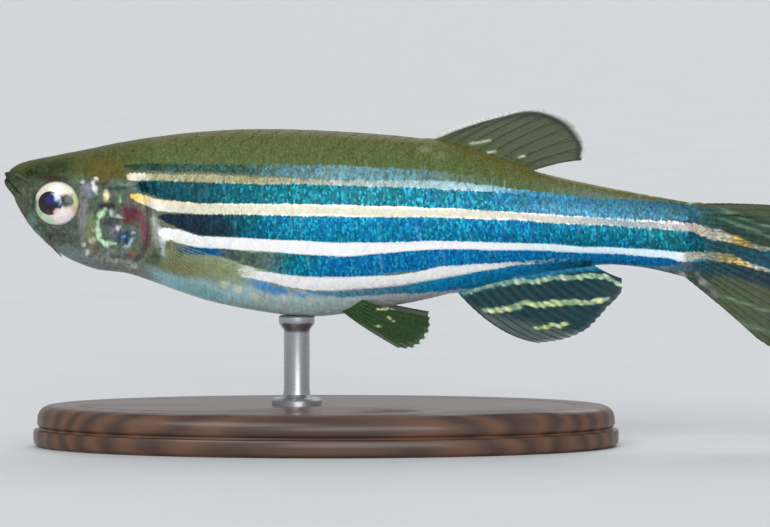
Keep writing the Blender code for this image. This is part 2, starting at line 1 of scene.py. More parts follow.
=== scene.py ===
# %% [markdown]
# # A zebra danio on a display stand
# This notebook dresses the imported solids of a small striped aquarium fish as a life-size museum model.
# The solids give shape and size. Here the fish gets its skin, scales, eyes, fins and finish. All is
# worked out in millimetres on a straight fish, with x measured back from the snout and z over a level
# line through the flank. One function then bends the tail and puts the fish on its stand.

# %% Load the frame
import json
from math import atan, cos, dist, pi, radians, sin, sqrt
import bpy
import numpy as np
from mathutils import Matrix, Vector

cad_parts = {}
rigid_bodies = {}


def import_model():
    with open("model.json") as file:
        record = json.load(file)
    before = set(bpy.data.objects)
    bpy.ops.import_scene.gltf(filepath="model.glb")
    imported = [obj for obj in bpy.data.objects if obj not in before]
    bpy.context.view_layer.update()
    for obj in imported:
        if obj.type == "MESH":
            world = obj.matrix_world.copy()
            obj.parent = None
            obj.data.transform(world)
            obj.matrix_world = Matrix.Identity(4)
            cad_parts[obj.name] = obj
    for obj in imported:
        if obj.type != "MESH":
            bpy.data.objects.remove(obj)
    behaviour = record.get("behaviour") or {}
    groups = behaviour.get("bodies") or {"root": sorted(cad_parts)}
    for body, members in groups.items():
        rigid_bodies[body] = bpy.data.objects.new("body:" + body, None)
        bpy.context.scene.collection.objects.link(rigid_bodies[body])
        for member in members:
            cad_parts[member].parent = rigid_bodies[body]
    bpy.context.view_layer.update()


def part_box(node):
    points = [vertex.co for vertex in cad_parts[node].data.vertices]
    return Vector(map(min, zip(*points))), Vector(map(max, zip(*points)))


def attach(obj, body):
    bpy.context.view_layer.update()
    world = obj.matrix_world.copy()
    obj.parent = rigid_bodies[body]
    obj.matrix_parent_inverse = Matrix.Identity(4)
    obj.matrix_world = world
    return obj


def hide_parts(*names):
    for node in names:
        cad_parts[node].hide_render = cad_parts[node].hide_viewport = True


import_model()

MM = 0.001
scene = bpy.context.scene

# %% [markdown]
# ## The view
# The camera stands level with the fish, far enough away that the fish looks as flat as in the
# photograph. The frame is as wide as the stretch of fish that the photograph shows, so the tail runs out
# of it.

# %% Camera
FRAME_WIDTH = 44.5  # millimetres of fish across the picture
AIM = Vector((-2.58, -1.0, 10.66)) * MM
CAMERA_DISTANCE = 0.3
CAMERA_RISE = radians(3.0)
SENSOR = 36.0

camera_data = bpy.data.cameras.new("camera")
camera_data.sensor_width = SENSOR
camera_data.lens = SENSOR * CAMERA_DISTANCE / (FRAME_WIDTH * MM)
camera_data.clip_start = 0.01
camera_data.clip_end = 50.0
camera = bpy.data.objects.new("camera", camera_data)
scene.collection.objects.link(camera)
back = Vector((0.0, -cos(CAMERA_RISE), sin(CAMERA_RISE)))
camera.location = AIM + back * CAMERA_DISTANCE
camera.rotation_euler = (-back).to_track_quat("-Z", "Y").to_euler()
scene.camera = camera
scene.view_settings.view_transform = "Standard"
print("lens:", round(camera_data.lens, 1), "mm")

# %% [markdown]
# ## Light
# Soft studio light: a broad lamp in front and above, a low one in front that lights the belly as a flash
# does, and one behind that draws the edges of the fins. They are suns, which light the whole floor
# alike, with a wide disc for soft shadows. The world adds an even pale glow.

# %% Lamps and world
# Name: the side it shines from, its strength, and the width of its disc in degrees
LAMPS = {
    "key": ((-0.45, -1.0, 0.8), 0.9, 30.0),
    "fill": ((0.15, -1.0, 0.1), 1.15, 34.0),
    "rim": ((0.25, 0.9, 1.0), 0.7, 40.0),
}

for name, (from_side, strength, disc) in LAMPS.items():
    data = bpy.data.lights.new(name, "SUN")
    data.energy = strength
    data.angle = radians(disc)
    made = bpy.data.objects.new(name, data)
    made.rotation_euler = Vector(from_side).to_track_quat("Z", "Y").to_euler()
    scene.collection.objects.link(made)

world = bpy.data.worlds.new("pale room")
world.use_nodes = True
glow = world.node_tree.nodes["Background"].inputs
glow["Color"].default_value = (0.86, 0.89, 0.93, 1.0)
glow["Strength"].default_value = 0.6
scene.world = world
print("lamps:", ", ".join(LAMPS))

# %% [markdown]
# ## Writing materials and patterns
# A material is a web of nodes, long and hard to read when written node by node. So a number that flows
# through it is wrapped in a small class whose operators add the Math nodes. Any other node comes from
# one method, add(), which takes its kind, its settings and its inputs.


# %% Flow and Web
class Flow:
    """A number, colour or mesh on its way from one node to the next."""

    def __init__(self, web, socket):
        self.web = web
        self.socket = socket

    def math(self, operation, *values):
        return self.web.add("ShaderNodeMath", {"operation": operation}, dict(enumerate(values)))

    def __add__(self, other):
        return self.math("ADD", self, other)

    def __radd__(self, other):
        return self.math("ADD", other, self)

    def __sub__(self, other):
        return self.math("SUBTRACT", self, other)

    def __rsub__(self, other):
        return self.math("SUBTRACT", other, self)

    def __mul__(self, other):
        return self.math("MULTIPLY", self, other)

    def __rmul__(self, other):
        return self.math("MULTIPLY", other, self)


class Web:
    def __init__(self, tree):
        self.tree = tree

    def add(self, kind, settings=None, inputs=None, output=0):
        node = self.tree.nodes.new(kind)
        for name, value in (settings or {}).items():
            setattr(node, name, value)
        self.feed(node, inputs or {})
        return Flow(self, node.outputs[output])

    def feed(self, node, inputs):
        for key, value in inputs.items():
            if isinstance(value, Flow):
                self.tree.links.new(value.socket, node.inputs[key])
                continue
            if isinstance(value, np.ndarray):  # a colour, which a socket wants with its opacity
                value = (*value.tolist(), 1.0)
            node.inputs[key].default_value = value

# %% [markdown]
# ## Writing a finish
# Nearly every finish here needs noise, cells, soft thresholds and mixes. A finish is a web with a
# Principled shader in it and a short name for each of these, so the recipes stay readable. Colours are
# written as they look on a screen and turned to the linear numbers of the shader.


# %% Finish
class Finish(Web):
    def __init__(self, name):
        self.material = bpy.data.materials.new(name)
        self.material.use_nodes = True
        super().__init__(self.material.node_tree)
        self.shader = self.tree.nodes["Principled BSDF"]

    def attribute(self, name, output="Vector"):
        return self.add("ShaderNodeAttribute", {"attribute_name": name}, output=output)

    def parts(self, vector):
        made = self.add("ShaderNodeSeparateXYZ", inputs={0: vector})
        return [Flow(self, socket) for socket in made.socket.node.outputs]

    def stretch(self, vector, factors):
        return self.add("ShaderNodeVectorMath", {"operation": "MULTIPLY"}, {0: vector, 1: factors})

    def noise(self, where, scale, detail=2.0):
        return self.add("ShaderNodeTexNoise", None, {"Vector": where, "Scale": scale, "Detail": detail})

    def cells(self, where, output="Color"):
        return self.add("ShaderNodeTexVoronoi", None, {"Vector": where, "Scale": 1.0}, output)

    def fade(self, value, low, high):
        """Rises smoothly from 0 at low to 1 at high."""
        settings = {"interpolation_type": "SMOOTHSTEP"}
        return self.add("ShaderNodeMapRange", settings, {0: value, 1: low, 2: high, 3: 0.0, 4: 1.0})

    def mix(self, share, first, second):
        settings = {"data_type": "RGBA", "clamp_factor": True}
        return self.add("ShaderNodeMix", settings, {0: share, 6: first, 7: second}, output=2)

    def dim(self, colour, factor):
        return self.add("ShaderNodeVectorMath", {"operation": "SCALE"}, {0: colour, "Scale": factor})

    def bump(self, height, distance, strength=1.0):
        inputs = {"Height": height, "Distance": distance, "Strength": strength}
        return self.add("ShaderNodeBump", None, inputs)

    def finish(self, **inputs):
        named = {name.replace("_", " "): value for name, value in inputs.items()}
        self.feed(self.shader, named)
        return self.material


def rgb(red, green, blue):
    """A colour given as on a screen, from 0 to 255, as the linear numbers that the shaders want."""
    share = np.array((red, green, blue)) / 255
    return np.where(share > 0.04045, ((share + 0.055) / 1.055) ** 2.4, share / 12.92)


print("mid grey of a screen, in linear numbers:", rgb(128, 128, 128)[0].round(3))

# %% [markdown]
# ## The body's shape
# The body is a tube whose sections are fuller than ellipses. Four profiles drive it: the lines of the
# back and the belly, half the width, and the height at which it is widest, as in the solids.

# %% Profiles of the body
SNOUT_X = -24.6
LEVEL_HEIGHT = 13.0
STANDARD_LENGTH = 39.65
BACK_LINE = (
    (0, 2.6), (0.35, 3.1), (0.92, 3.45), (2.66, 3.84), (5.55, 4.42), (8.44, 4.94), (14.2, 5.43),
    (20, 5.26), (23, 5.02), (25.2, 4.70), (28, 3.86), (30.4, 3.09), (34.5, 2.14), (39.65, 1.21),
)
BELLY_LINE = (
    (0, 2.6), (0.35, 1.73), (0.92, 0.58), (2.37, -1.21), (3.82, -2.17), (5.55, -2.77), (6.99, -2.95),
    (8.44, -3.41), (11.33, -4.45), (14.8, -5.20), (18.2, -5.48), (21.2, -5.09), (24.6, -4.45),
    (28.7, -3.38), (33.3, -2.56), (36.5, -2.57), (39.65, -3.24),
)
HALF_WIDTH = (
    (0, 0), (0.35, 0.82), (0.92, 1.18), (3.06, 1.92), (5.55, 2.42), (8.44, 2.85), (12, 3.1),
    (16, 3.15), (20, 2.98), (24, 2.58), (28, 2.02), (33, 1.38), (36.5, 1), (39.65, 0.62),
)
WIDEST_LEVEL = (
    (0, 2.6), (0.35, 2.35), (0.92, 1.95), (3.06, 1.2), (6, 0.9), (10, 0.6), (16, 0.35),
    (24, 0.2), (30, -0.05), (36, -0.55), (39.65, -1),
)
SIDE_FULLNESS = 0.9

print("body:", STANDARD_LENGTH, "mm to the root of the tail fin")

# %% [markdown]
# ### Smooth curves
# A profile is a natural cubic spline, the line that a thin springy batten takes when it is held at a few
# points. The same code serves numbers, for a profile, and points, for a line in the side view.


# %% Curves through a few points
def stack(*parts):
    """Points from their coordinates, or rows from their columns."""
    return np.stack(np.broadcast_arrays(*parts), axis=-1)


def side_view(points):
    return points[..., 0], points[..., 2]


def natural_cubic(knots, values):
    """The smooth curve through values at knots, as a function. Values may be numbers or points."""
    knots = np.asarray(knots, float)
    values = np.asarray(values, float)
    last = len(knots) - 1
    step = np.diff(knots)
    slopes = np.diff(values, axis=0) / step.reshape(-1, *[1] * (values.ndim - 1))
    system = np.eye(last + 1)
    bends = np.zeros_like(values)
    for i in range(1, last):
        system[i, i - 1 : i + 2] = step[i - 1], 2 * (step[i - 1] + step[i]), step[i]
        bends[i] = 6 * (slopes[i] - slopes[i - 1])
    bends = np.linalg.solve(system, bends)

    def at(where):
        where = np.clip(np.asarray(where, float), knots[0], knots[-1])
        i = np.clip(np.searchsorted(knots, where) - 1, 0, last - 1)
        before, after = (knots[i + 1] - where) / step[i], (where - knots[i]) / step[i]
        cubic = step[i] ** 2 / 6
        parts = (before, after, (before**3 - before) * cubic, (after**3 - after) * cubic)
        terms = (values[i], values[i + 1], bends[i], bends[i + 1])
        if values.ndim > 1:
            parts = [part[..., None] for part in parts]
        return sum(part * term for part, term in zip(parts, terms))

    return at


def along_body(points):
    """A profile by distance from the snout. Taking the distance's root keeps the snout blunt."""
    distances, values = zip(*points)
    curve = natural_cubic(np.sqrt(distances), values)
    return lambda x: curve(np.sqrt(np.clip(x, 0, None)))


def through(points):
    """The smooth line through points of the side view, as a function of a share from 0 to 1."""
    points = np.array(points, float)
    reach = np.concatenate([[0], np.cumsum(np.linalg.norm(np.diff(points, axis=0), axis=1))])
    curve = natural_cubic(reach / reach[-1], points)
    return lambda share: curve(np.asarray(share, float))


back_line = along_body(BACK_LINE)
belly_line = along_body(BELLY_LINE)
half_width = along_body(HALF_WIDTH)
widest_level = along_body(WIDEST_LEVEL)

samples = np.linspace(0, STANDARD_LENGTH, 400)
print("deepest:", (back_line(samples) - belly_line(samples)).max().round(2), "mm")

# %% [markdown]
# ### The surface
# A place on the body is a distance from the snout and an angle round it, from the back at 0 to the belly
# at pi. A sine raised to a power below 1 makes the sides fuller than an ellipse's. The normal is worked
# out from two small steps. Every form and scale is later set along it.


# %% Surface of the body
def flank(x, angle):
    """The body's surface. The angle runs from the back over the fish's left side to the belly at pi."""
    x, angle = np.broadcast_arrays(np.asarray(x, float), np.asarray(angle, float))
    rise, out = np.cos(angle), np.sin(angle)
    level = widest_level(x)
    height = np.where(rise > 0, back_line(x) - level, level - belly_line(x))
    y = -half_width(x) * np.sign(out) * np.abs(out) ** SIDE_FULLNESS
    return stack(x, y, level + height * rise)


def flank_normal(x, angle):
    small = 0.01
    x = np.maximum(x, 2 * small)
    ahead = flank(x + small, angle) - flank(x - small, angle)
    round_it = flank(x, angle + small) - flank(x, angle - small)
    out = np.cross(round_it, ahead)
    return out / np.linalg.norm(out, axis=-1, keepdims=True)


def angle_at(x, z):
    """The angle at which the fish's left side has the height z."""
    level = widest_level(x)
    over = np.arccos(np.clip((z - level) / (back_line(x) - level), 0, 1))
    under = pi - np.arccos(np.clip((level - z) / (level - belly_line(x)), 0, 1))
    return np.where(z > level, over, under)


print("half width at 16 mm:", round(-flank(16, pi / 2)[1], 2), "mm")

# %% [markdown]
# ### The pose
# The fish swims with its tail swung gently to one side. Everything is modelled on a straight fish, where
# left and right are alike, and one function bends each point at the very end. The backbone's path is
# laid out once as a table: its heading grows along the tail, and the path follows it.

# %% Bending the tail and setting the fish on its stand
TAIL_BEND_START = 22.0
TAIL_BEND_LENGTH = 28.0
TAIL_BEND = radians(-13.0)

path = np.linspace(0, 60, 1201)
path_step = path[1] - path[0]
path_turn = TAIL_BEND * np.clip((path - TAIL_BEND_START) / TAIL_BEND_LENGTH, 0, 1) ** 2
path_x = np.concatenate([[0], np.cumsum(np.cos(path_turn[:-1]) * path_step)])
path_y = np.concatenate([[0], np.cumsum(np.sin(path_turn[:-1]) * path_step)])


def set_in_place(points):
    """Turns points of the straight fish, in millimetres, to the bent fish on its stand, in metres."""
    points = np.asarray(points, float)
    x, y, z = np.moveaxis(points, -1, 0)
    turn = np.interp(x, path, path_turn)
    centre_x = np.interp(x, path, path_x) + np.minimum(x, 0)
    centre_y = np.interp(x, path, path_y)
    x, y = SNOUT_X + centre_x - y * np.sin(turn), centre_y + y * np.cos(turn)
    return stack(x, y, LEVEL_HEIGHT + z) * MM


head_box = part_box("head")
print("snout of the solids:", round(head_box[0].x / MM, 2), "mm, here:", SNOUT_X)

# %% [markdown]
# ## Helpers for forms and marks
# A form is a small height on the surface and a mark is a colour on it. Both depend on where a place
# lies, so a few helpers serve for all.


# %% Helpers for forms and marks
def rise(value, low, high):
    """A smooth step from 0 at low to 1 at high."""
    share = np.clip((value - low) / (high - low), 0, 1)
    return share * share * (3 - 2 * share)


def ridge(distance, width):
    """A soft bump, 1 at distance 0."""
    return np.exp(-((distance / width) ** 2))


def ripple(points, size, seed):
    """A smooth random field from -1 to 1 with waves about size long, for anything that wanders."""
    random = np.random.default_rng(seed)
    total = np.zeros(points.shape[:-1])
    waves = 9
    for _ in range(waves):
        direction = random.normal(size=3)
        direction *= 2 * pi / size * random.uniform(0.6, 1.5) / np.linalg.norm(direction)
        total += np.sin(points @ direction + random.uniform(0, 2 * pi))
    return total / sqrt(waves) * 0.8


def line_distance(x, z, points):
    """How far places of the side view are from a line through points, and the share along it."""
    nearest, share_at = np.full(x.shape, 1e9), np.zeros(x.shape)
    points = np.array(points, float)
    for i, (start, end) in enumerate(zip(points[:-1], points[1:])):
        run = end - start
        t = ((x - start[0]) * run[0] + (z - start[1]) * run[1]) / (run @ run)
        t = np.clip(t, 0, 1)
        far = np.hypot(x - start[0] - run[0] * t, z - start[1] - run[1] * t)
        closer = far < nearest
        nearest = np.where(closer, far, nearest)
        share_at = np.where(closer, (i + t) / (len(points) - 1), share_at)
    return nearest, share_at


def ellipse_cover(x, z, ellipse, soft):
    """How much of each place a soft ellipse covers: its middle, half lengths, turn in degrees, strength."""
    centre_x, centre_z, length, height, turn, strength = ellipse
    turn = radians(turn)
    along = (x - centre_x) * cos(turn) + (z - centre_z) * sin(turn)
    across = (z - centre_z) * cos(turn) - (x - centre_x) * sin(turn)
    return strength * (1 - rise(np.hypot(along / length, across / height), *soft))


def blend_to(colour, paint, share):
    """Moves colours towards a paint by a share from 0 to 1 at each place."""
    return colour + (paint - colour) * share[..., None]

# %% [markdown]
# ## The head's forms
# A fish's head is bone under thin skin. It could be sculpted from many pieces, but then seams would
# show. Here every form is a small height added along the skin's normal, at the place that the solids
# give it, so the head stays one surface.

# %% Places on the head
EYE_X = 3.06
EYE_Z = 1.16
EYE_RADIUS = 1.32
EYE_LENGTHENING = 1.08
EYE_HALF_DEPTH = 0.72
EYE_SETBACK = 0.42
EYE_TURN = radians(-13.0)
EYE_AHEAD = np.array((cos(EYE_TURN), sin(EYE_TURN), 0.0))
EYE_OUT = np.array((sin(EYE_TURN), -cos(EYE_TURN), 0.0))
MOUTH_TIP = (-0.45, 3.12)
MOUTH_CORNER = (0.98, 1.60)
NOSTRIL = (1.5, 2.92)
GILL_SLIT_X = 8.42

eye_angle = angle_at(EYE_X, EYE_Z)
EYE_CENTRE = flank(EYE_X, eye_angle) - flank_normal(EYE_X, eye_angle) * EYE_SETBACK


def on_left(points):
    """The same places on the fish's left side, so that both sides get the same forms."""
    return points * (1, 0, 1) + np.abs(points[..., 1:2]) * (0, -1, 0)


def in_the_eye(points):
    """Places as seen by the eye: back along the head, up, and out, in millimetres."""
    apart = on_left(points) - EYE_CENTRE
    return apart @ EYE_AHEAD, apart[..., 2], apart @ EYE_OUT


def slit_edge(z):
    """How far back the gill cover reaches at a height."""
    return GILL_SLIT_X - 0.085 * (z - 0.1) ** 2 - 0.42 * np.clip(-1.2 - z, 0, None) ** 1.3


print("eye centre:", np.round(EYE_CENTRE, 2))

# %% [markdown]
# ### Orbit
# The eye lies in a bowl of bone. The skin dips into it, and round it stand a soft rim and a faint furrow.


# %% Orbit
def orbit_form(points):
    a, b, _ = in_the_eye(points)
    r = np.hypot(a / EYE_LENGTHENING, b) / EYE_RADIUS
    bowl = -0.85 * rise(0.985 - r, 0, 0.11)
    rim = 0.075 * ridge(r - 1.06, 0.06) * rise(r, 0.96, 1.02)
    furrow = -0.03 * ridge(r - 1.24, 0.08)
    return bowl + rim + furrow


print("orbit's depth:", round(-orbit_form(EYE_CENTRE), 2), "mm")

# %% [markdown]
# ### Mouth and nostrils
# A danio's mouth points up. It is a slit between two lips with a small fold at its corner, drawn as soft
# ridges and grooves beside one slanting line. Each nostril is a pair of pits with a flap between them.

# %% Mouth and nostrils
# Distance from the slit, height and half width of what runs beside it, in millimetres
SLIT = (0.0, -0.17, 0.055)
LIPS = ((0.19, 0.10, 0.1), (-0.2, 0.11, 0.11))
LIP_FOLDS = ((0.42, -0.05, 0.07), (-0.47, -0.04, 0.08))


def mouth_form(points):
    x, z = side_view(points)
    tip, corner = np.array(MOUTH_TIP), np.array(MOUTH_CORNER)
    run = corner - tip
    length = np.linalg.norm(run)
    along = ((x - tip[0]) * run[0] + (z - tip[1]) * run[1]) / length**2
    across = ((z - tip[1]) * run[0] - (x - tip[0]) * run[1]) / length
    form = sum(height * ridge(across - away, width) for away, height, width in (SLIT, *LIPS, *LIP_FOLDS))
    corner_fold = 0.05 * ridge(np.hypot(x - corner[0] - 0.1, z - corner[1] + 0.12), 0.14)
    return form * rise(1.06 - along, 0, 0.12) + corner_fold


def nostril_form(points):
    x, z = side_view(points)
    first = np.hypot((x - NOSTRIL[0]) / 1.15, z - NOSTRIL[1])
    second = np.hypot(x - NOSTRIL[0] - 0.33, z - NOSTRIL[1] - 0.06)
    pits = -0.2 * rise(0.2 - first, 0, 0.1) - 0.13 * rise(0.13 - second, 0, 0.08)
    flap = 0.09 * ridge(np.hypot(x - NOSTRIL[0] - 0.2, (z - NOSTRIL[1]) / 1.6), 0.09)
    rim = 0.035 * ridge(first - 0.27, 0.06)
    return pits + flap + rim


print("mouth:", round(dist(MOUTH_TIP, MOUTH_CORNER), 2), "mm long")

# %% [markdown]
# ### Cheek
# Under the cheek's skin lie the bones round the eye, the brow over it, and behind them the preopercle,
# the curved bone in front of the gill cover. Each is a line that raises the skin, with a shallow groove
# beside it. The pores of the sense organ sit in a row along each.

# %% Bones and pores of the cheek
PREOPERCLE = ((5.95, 1.55), (5.52, 0.6), (5.42, -0.3), (5.58, -1.0), (6.1, -1.5), (6.6, -1.75))
CHEEK_BONES = ((1.75, 0.0), (2.3, -0.75), (3.1, -1.05), (4.1, -0.85), (4.75, -0.1), (4.95, 0.9))
BROW = ((1.9, 2.45), (2.7, 2.75), (3.6, 2.72), (4.5, 2.35))
PORE_LINES = ((PREOPERCLE, 7), (CHEEK_BONES, 8), (BROW, 5))
PORE_DEPTH = 0.04
PORE_RADIUS = 0.07


def cheek_form(points):
    x, z = side_view(points)
    preopercle, _ = line_distance(x, z, PREOPERCLE)
    bones, _ = line_distance(x, z, CHEEK_BONES)
    brow, _ = line_distance(x, z, BROW)
    behind, _ = line_distance(x + 0.2, z, PREOPERCLE)
    form = 0.11 * ridge(preopercle, 0.13) - 0.08 * ridge(behind - 0.3, 0.1)
    form += 0.05 * ridge(bones, 0.14) - 0.035 * ridge(bones - 0.27, 0.08)
    return form + 0.07 * ridge(brow, 0.16)


def pore_form(points):
    x, z = side_view(points)
    pits = np.zeros(x.shape)
    for line, count in PORE_LINES:
        far, share = line_distance(x, z, line)
        spacing = np.linalg.norm(np.diff(np.array(line), axis=0), axis=1).sum() / count
        aside = ((share * count) % 1 - 0.5) * spacing
        pits -= PORE_DEPTH * ridge(far, PORE_RADIUS) * ridge(aside, PORE_RADIUS)
    return pits


print("pores on each side:", sum(count for _, count in PORE_LINES))

# %% [markdown]
# ### Gill cover and throat
# The gill cover is a thin plate with fine grooves that fan out from its hinge. It swells towards its
# free edge, which stands over the gill slit. Below it are the folds that let the throat spread, and a
# groove runs under the throat's middle.

# %% Gill cover and throat
COVER_HINGE = (5.9, 1.5)
COVER_SWELL = 0.15
SLIT_DEPTH = 0.18
SHOULDER_RISE = 0.07
FAN_GROOVES = 34
FAN_DEPTH = 0.014


def gill_form(points):
    x, z = side_view(points)
    past = x - slit_edge(z)
    ahead = rise(-past, 0, 0.3)
    on_side = rise(z, -2.95, -2.2) * rise(3.0 - z, 0, 0.6)
    plate = COVER_SWELL * rise(past, -2.6, -0.15) * rise(-past, 0, 0.07)
    slit = -SLIT_DEPTH * ridge(past - 0.09, 0.09)
    shoulder = SHOULDER_RISE * ridge(past - 0.5, 0.22)
    fan = np.arctan2(z - COVER_HINGE[1], x - COVER_HINGE[0])
    reach = np.hypot(x - COVER_HINGE[0], z - COVER_HINGE[1])
    grooves = FAN_DEPTH * np.sin(fan * FAN_GROOVES + 0.8 * ripple(points, 1.2, 6)) * rise(reach, 0.5, 1.4)
    plate = plate + grooves * ahead * rise(x, 5.7, 6.1)
    lower = x - 4.3 - 0.4 * (z + 2.1)
    folds = -0.05 * ridge(z + 2.02 - 0.06 * (x - 6.5) ** 2, 0.07) * rise(x, 4.6, 5.4) * ahead
    folds += -0.035 * ridge(z + 2.4 - 0.05 * (x - 6.2) ** 2, 0.05) * rise(lower, 0, 0.8) * ahead
    return (plate + slit + shoulder) * on_side + folds


def throat_form(points):
    x, y, z = np.moveaxis(points, -1, 0)
    under = rise(belly_line(x) + 0.8 - z, 0, 0.6)
    return -0.09 * ridge(y, 0.1) * under * rise(x, 2.2, 3.2) * rise(8.6 - x, 0, 1.2)


print("gill cover ends", round(slit_edge(0), 2), "mm behind the snout")

# %% [markdown]
# ## The body's forms
# Flesh swells where a fin grows out of it: a low ridge along the dorsal and anal fins and a small pad at
# each paired fin. Behind the head the skin lies a little deeper, because the scales on top of it bring
# the surface back to its height.

# %% Heights that shape the body
COAT_DEPTH = 0.07
FLAT_AT_RIDGE = 0.25
SCALES_START = 8.75
DORSAL_ROOTS = (24.5, 30.4)
ANAL_ROOTS = (26.2, 33.9)
PECTORAL_ROOT_X = 9.6
PECTORAL_ROOTS = (-0.9, -2.1)
PELVIC_ROOTS = (19.6, 20.7)
PELVIC_ROOT_ANGLES = (166.0, 151.0)


def scale_share(from_ridge):
    """How much of their height the scales keep near the ridges of back and belly, where they lie flat."""
    return FLAT_AT_RIDGE + (1 - FLAT_AT_RIDGE) * rise(from_ridge, 0.1, 1.3)


def fin_pads(points):
    x, y, z = np.moveaxis(points, -1, 0)
    swell = np.zeros(x.shape)
    for (start, end), line in ((DORSAL_ROOTS, back_line), (ANAL_ROOTS, belly_line)):
        near = ridge(line(x) - z, 0.45) * ridge(y, 0.5)
        swell += 0.1 * near * rise(x, start - 0.6, start + 0.3) * rise(end + 0.4 - x, 0, 0.8)
    middle = sum(PECTORAL_ROOTS) / 2
    shoulder = np.hypot((x - PECTORAL_ROOT_X + 0.1) / 0.45, (z - middle) / 0.75)
    return swell + 0.13 * ridge(shoulder, 1)


def skin_height(x, angle):
    """How far the finished skin lies over the smooth body, in millimetres."""
    points = flank(x, angle)
    head = 1 - rise(x, SCALES_START - 0.35, SCALES_START + 0.3)
    forms = orbit_form(points) + mouth_form(points) + nostril_form(points) + cheek_form(points)
    forms = forms + pore_form(points) + gill_form(points) + throat_form(points)
    grain = 0.008 * ripple(points, 0.5, 3) + 0.012 * ripple(points, 1.6, 4)
    coat = COAT_DEPTH * scale_share(half_width(x) * np.abs(np.sin(angle))) * (1 - head)
    return forms + grain * (0.4 + 0.6 * head) + fin_pads(points) - coat - 0.02


def on_skin(x, angle, lift=0.0):
    """A place on or over the skin of the straight fish."""
    height = skin_height(x, angle) + lift
    return flank(x, angle) + flank_normal(x, angle) * height[..., None]

# %% [markdown]
# ## The markings
# A zebra danio has dark blue stripes with silver and gold ones between them. They could be painted on an
# image, but an image blurs close up. So each stripe is given by its edges, read off the photograph in
# millimetres, and every place gets two signed distances, to the nearest dark and the nearest light
# stripe. The material makes edges of them as sharp or ragged as it likes.

# %% Palette
OLIVE = rgb(88, 104, 56)
OLIVE_BROWN = rgb(98, 88, 36)
RIM_GOLD = rgb(138, 112, 46)
BARK = rgb(58, 44, 24)
SLATE = rgb(44, 66, 52)
MIST = rgb(112, 146, 146)
TAN = rgb(172, 170, 128)
SAGE = rgb(186, 200, 192)
GOLD = rgb(255, 220, 122)
AMBER = rgb(226, 170, 74)
CREAM = rgb(250, 246, 222)
WHITE = rgb(255, 255, 255)
ICE = rgb(226, 246, 252)
GREEN_WHITE = rgb(218, 236, 206)
TEAL = rgb(0, 98, 112)
DEEP_TEAL = rgb(8, 64, 70)
INK_NAVY = rgb(26, 44, 62)
SEA_BLUE = rgb(0, 116, 164)
BRIGHT_BLUE = rgb(0, 114, 184)
STEEL_BLUE = rgb(64, 140, 176)
LILAC_GREY = rgb(190, 200, 204)
ROSE_GREY = rgb(204, 190, 194)
BELLY_BLUE = rgb(176, 226, 234)
BELLY_GREY = rgb(184, 212, 212)
ASH = rgb(92, 106, 92)
SNOUT_GREEN = rgb(60, 74, 46)
CHEEK_GREY = rgb(132, 142, 130)
MAROON = rgb(104, 44, 66)
MINT = rgb(204, 244, 200)

# %% [markdown]
# ### The stripes' edges
# Each row of a stripe is a distance from the snout, then the heights of its upper and lower edge. The
# stripes run on over the tail fin. Where a stripe starts, both edges come close together.

# %% Edges of the stripes
DARK_STRIPES = (
    ((7, 3.36, 3.24), (7.6, 3.4, 3.14), (8.4, 3.4, 3.14), (14.2, 3.38, 2.92), (19.5, 3.28, 2.66),
     (25.4, 2.92, 2.4), (28.6, 2.5, 2.1)),
    ((7.7, 2.24, 2.16), (8.1, 2.38, 1.96), (9, 2.43, 1.62), (11.3, 2.34, 1.24), (17.1, 2.28, 1.21),
     (22.9, 2.02, 1.01), (27.8, 1.74, 0.9), (31.3, 1.62, 0.55), (34.5, 1.32, 0.38), (37.4, 1.2, 0.12),
     (39.8, 0.95, -0.05), (41.6, 0.7, -0.5), (44, 0.1, -1.2), (47, -0.6, -2.2)),
    ((9.1, 0.52, 0.43), (9.6, 0.55, 0.06), (10.2, 0.55, -0.17), (11.3, 0.55, -0.55), (17.1, 0.46, -0.87),
     (22.9, 0.35, -1.04), (28.4, 0.2, -1.01), (34.5, -0.23, -1.18), (39.9, -0.55, -1.68),
     (41.4, -1.08, -1.68), (42.5, -1.33, -2), (44.2, -1.6, -2.7), (47.5, -2.6, -3.9), (51, -3.6, -5)),
    ((9.7, -1.21, -1.3), (10.3, -1.26, -1.62), (12.6, -1.4, -1.76), (14.2, -1.68, -2.3),
     (15.5, -1.72, -2.65), (17.1, -1.79, -2.93), (19.5, -1.91, -2.98), (25.4, -1.5, -2.4),
     (31.3, -1.62, -2.14), (34.5, -1.76, -2.3), (38.9, -2.12, -2.42), (39.6, -2.3, -2.75),
     (42, -2.3, -3), (44.2, -2.9, -3.6), (47.5, -4, -4.8), (51, -5.2, -6)),
    ((17.6, -3.86, -3.96), (19.5, -3.9, -4.14), (23.6, -3.5, -3.98), (25.4, -3.18, -3.87),
     (28.4, -2.75, -3.58), (33.9, -2.14, -2.66)),
)
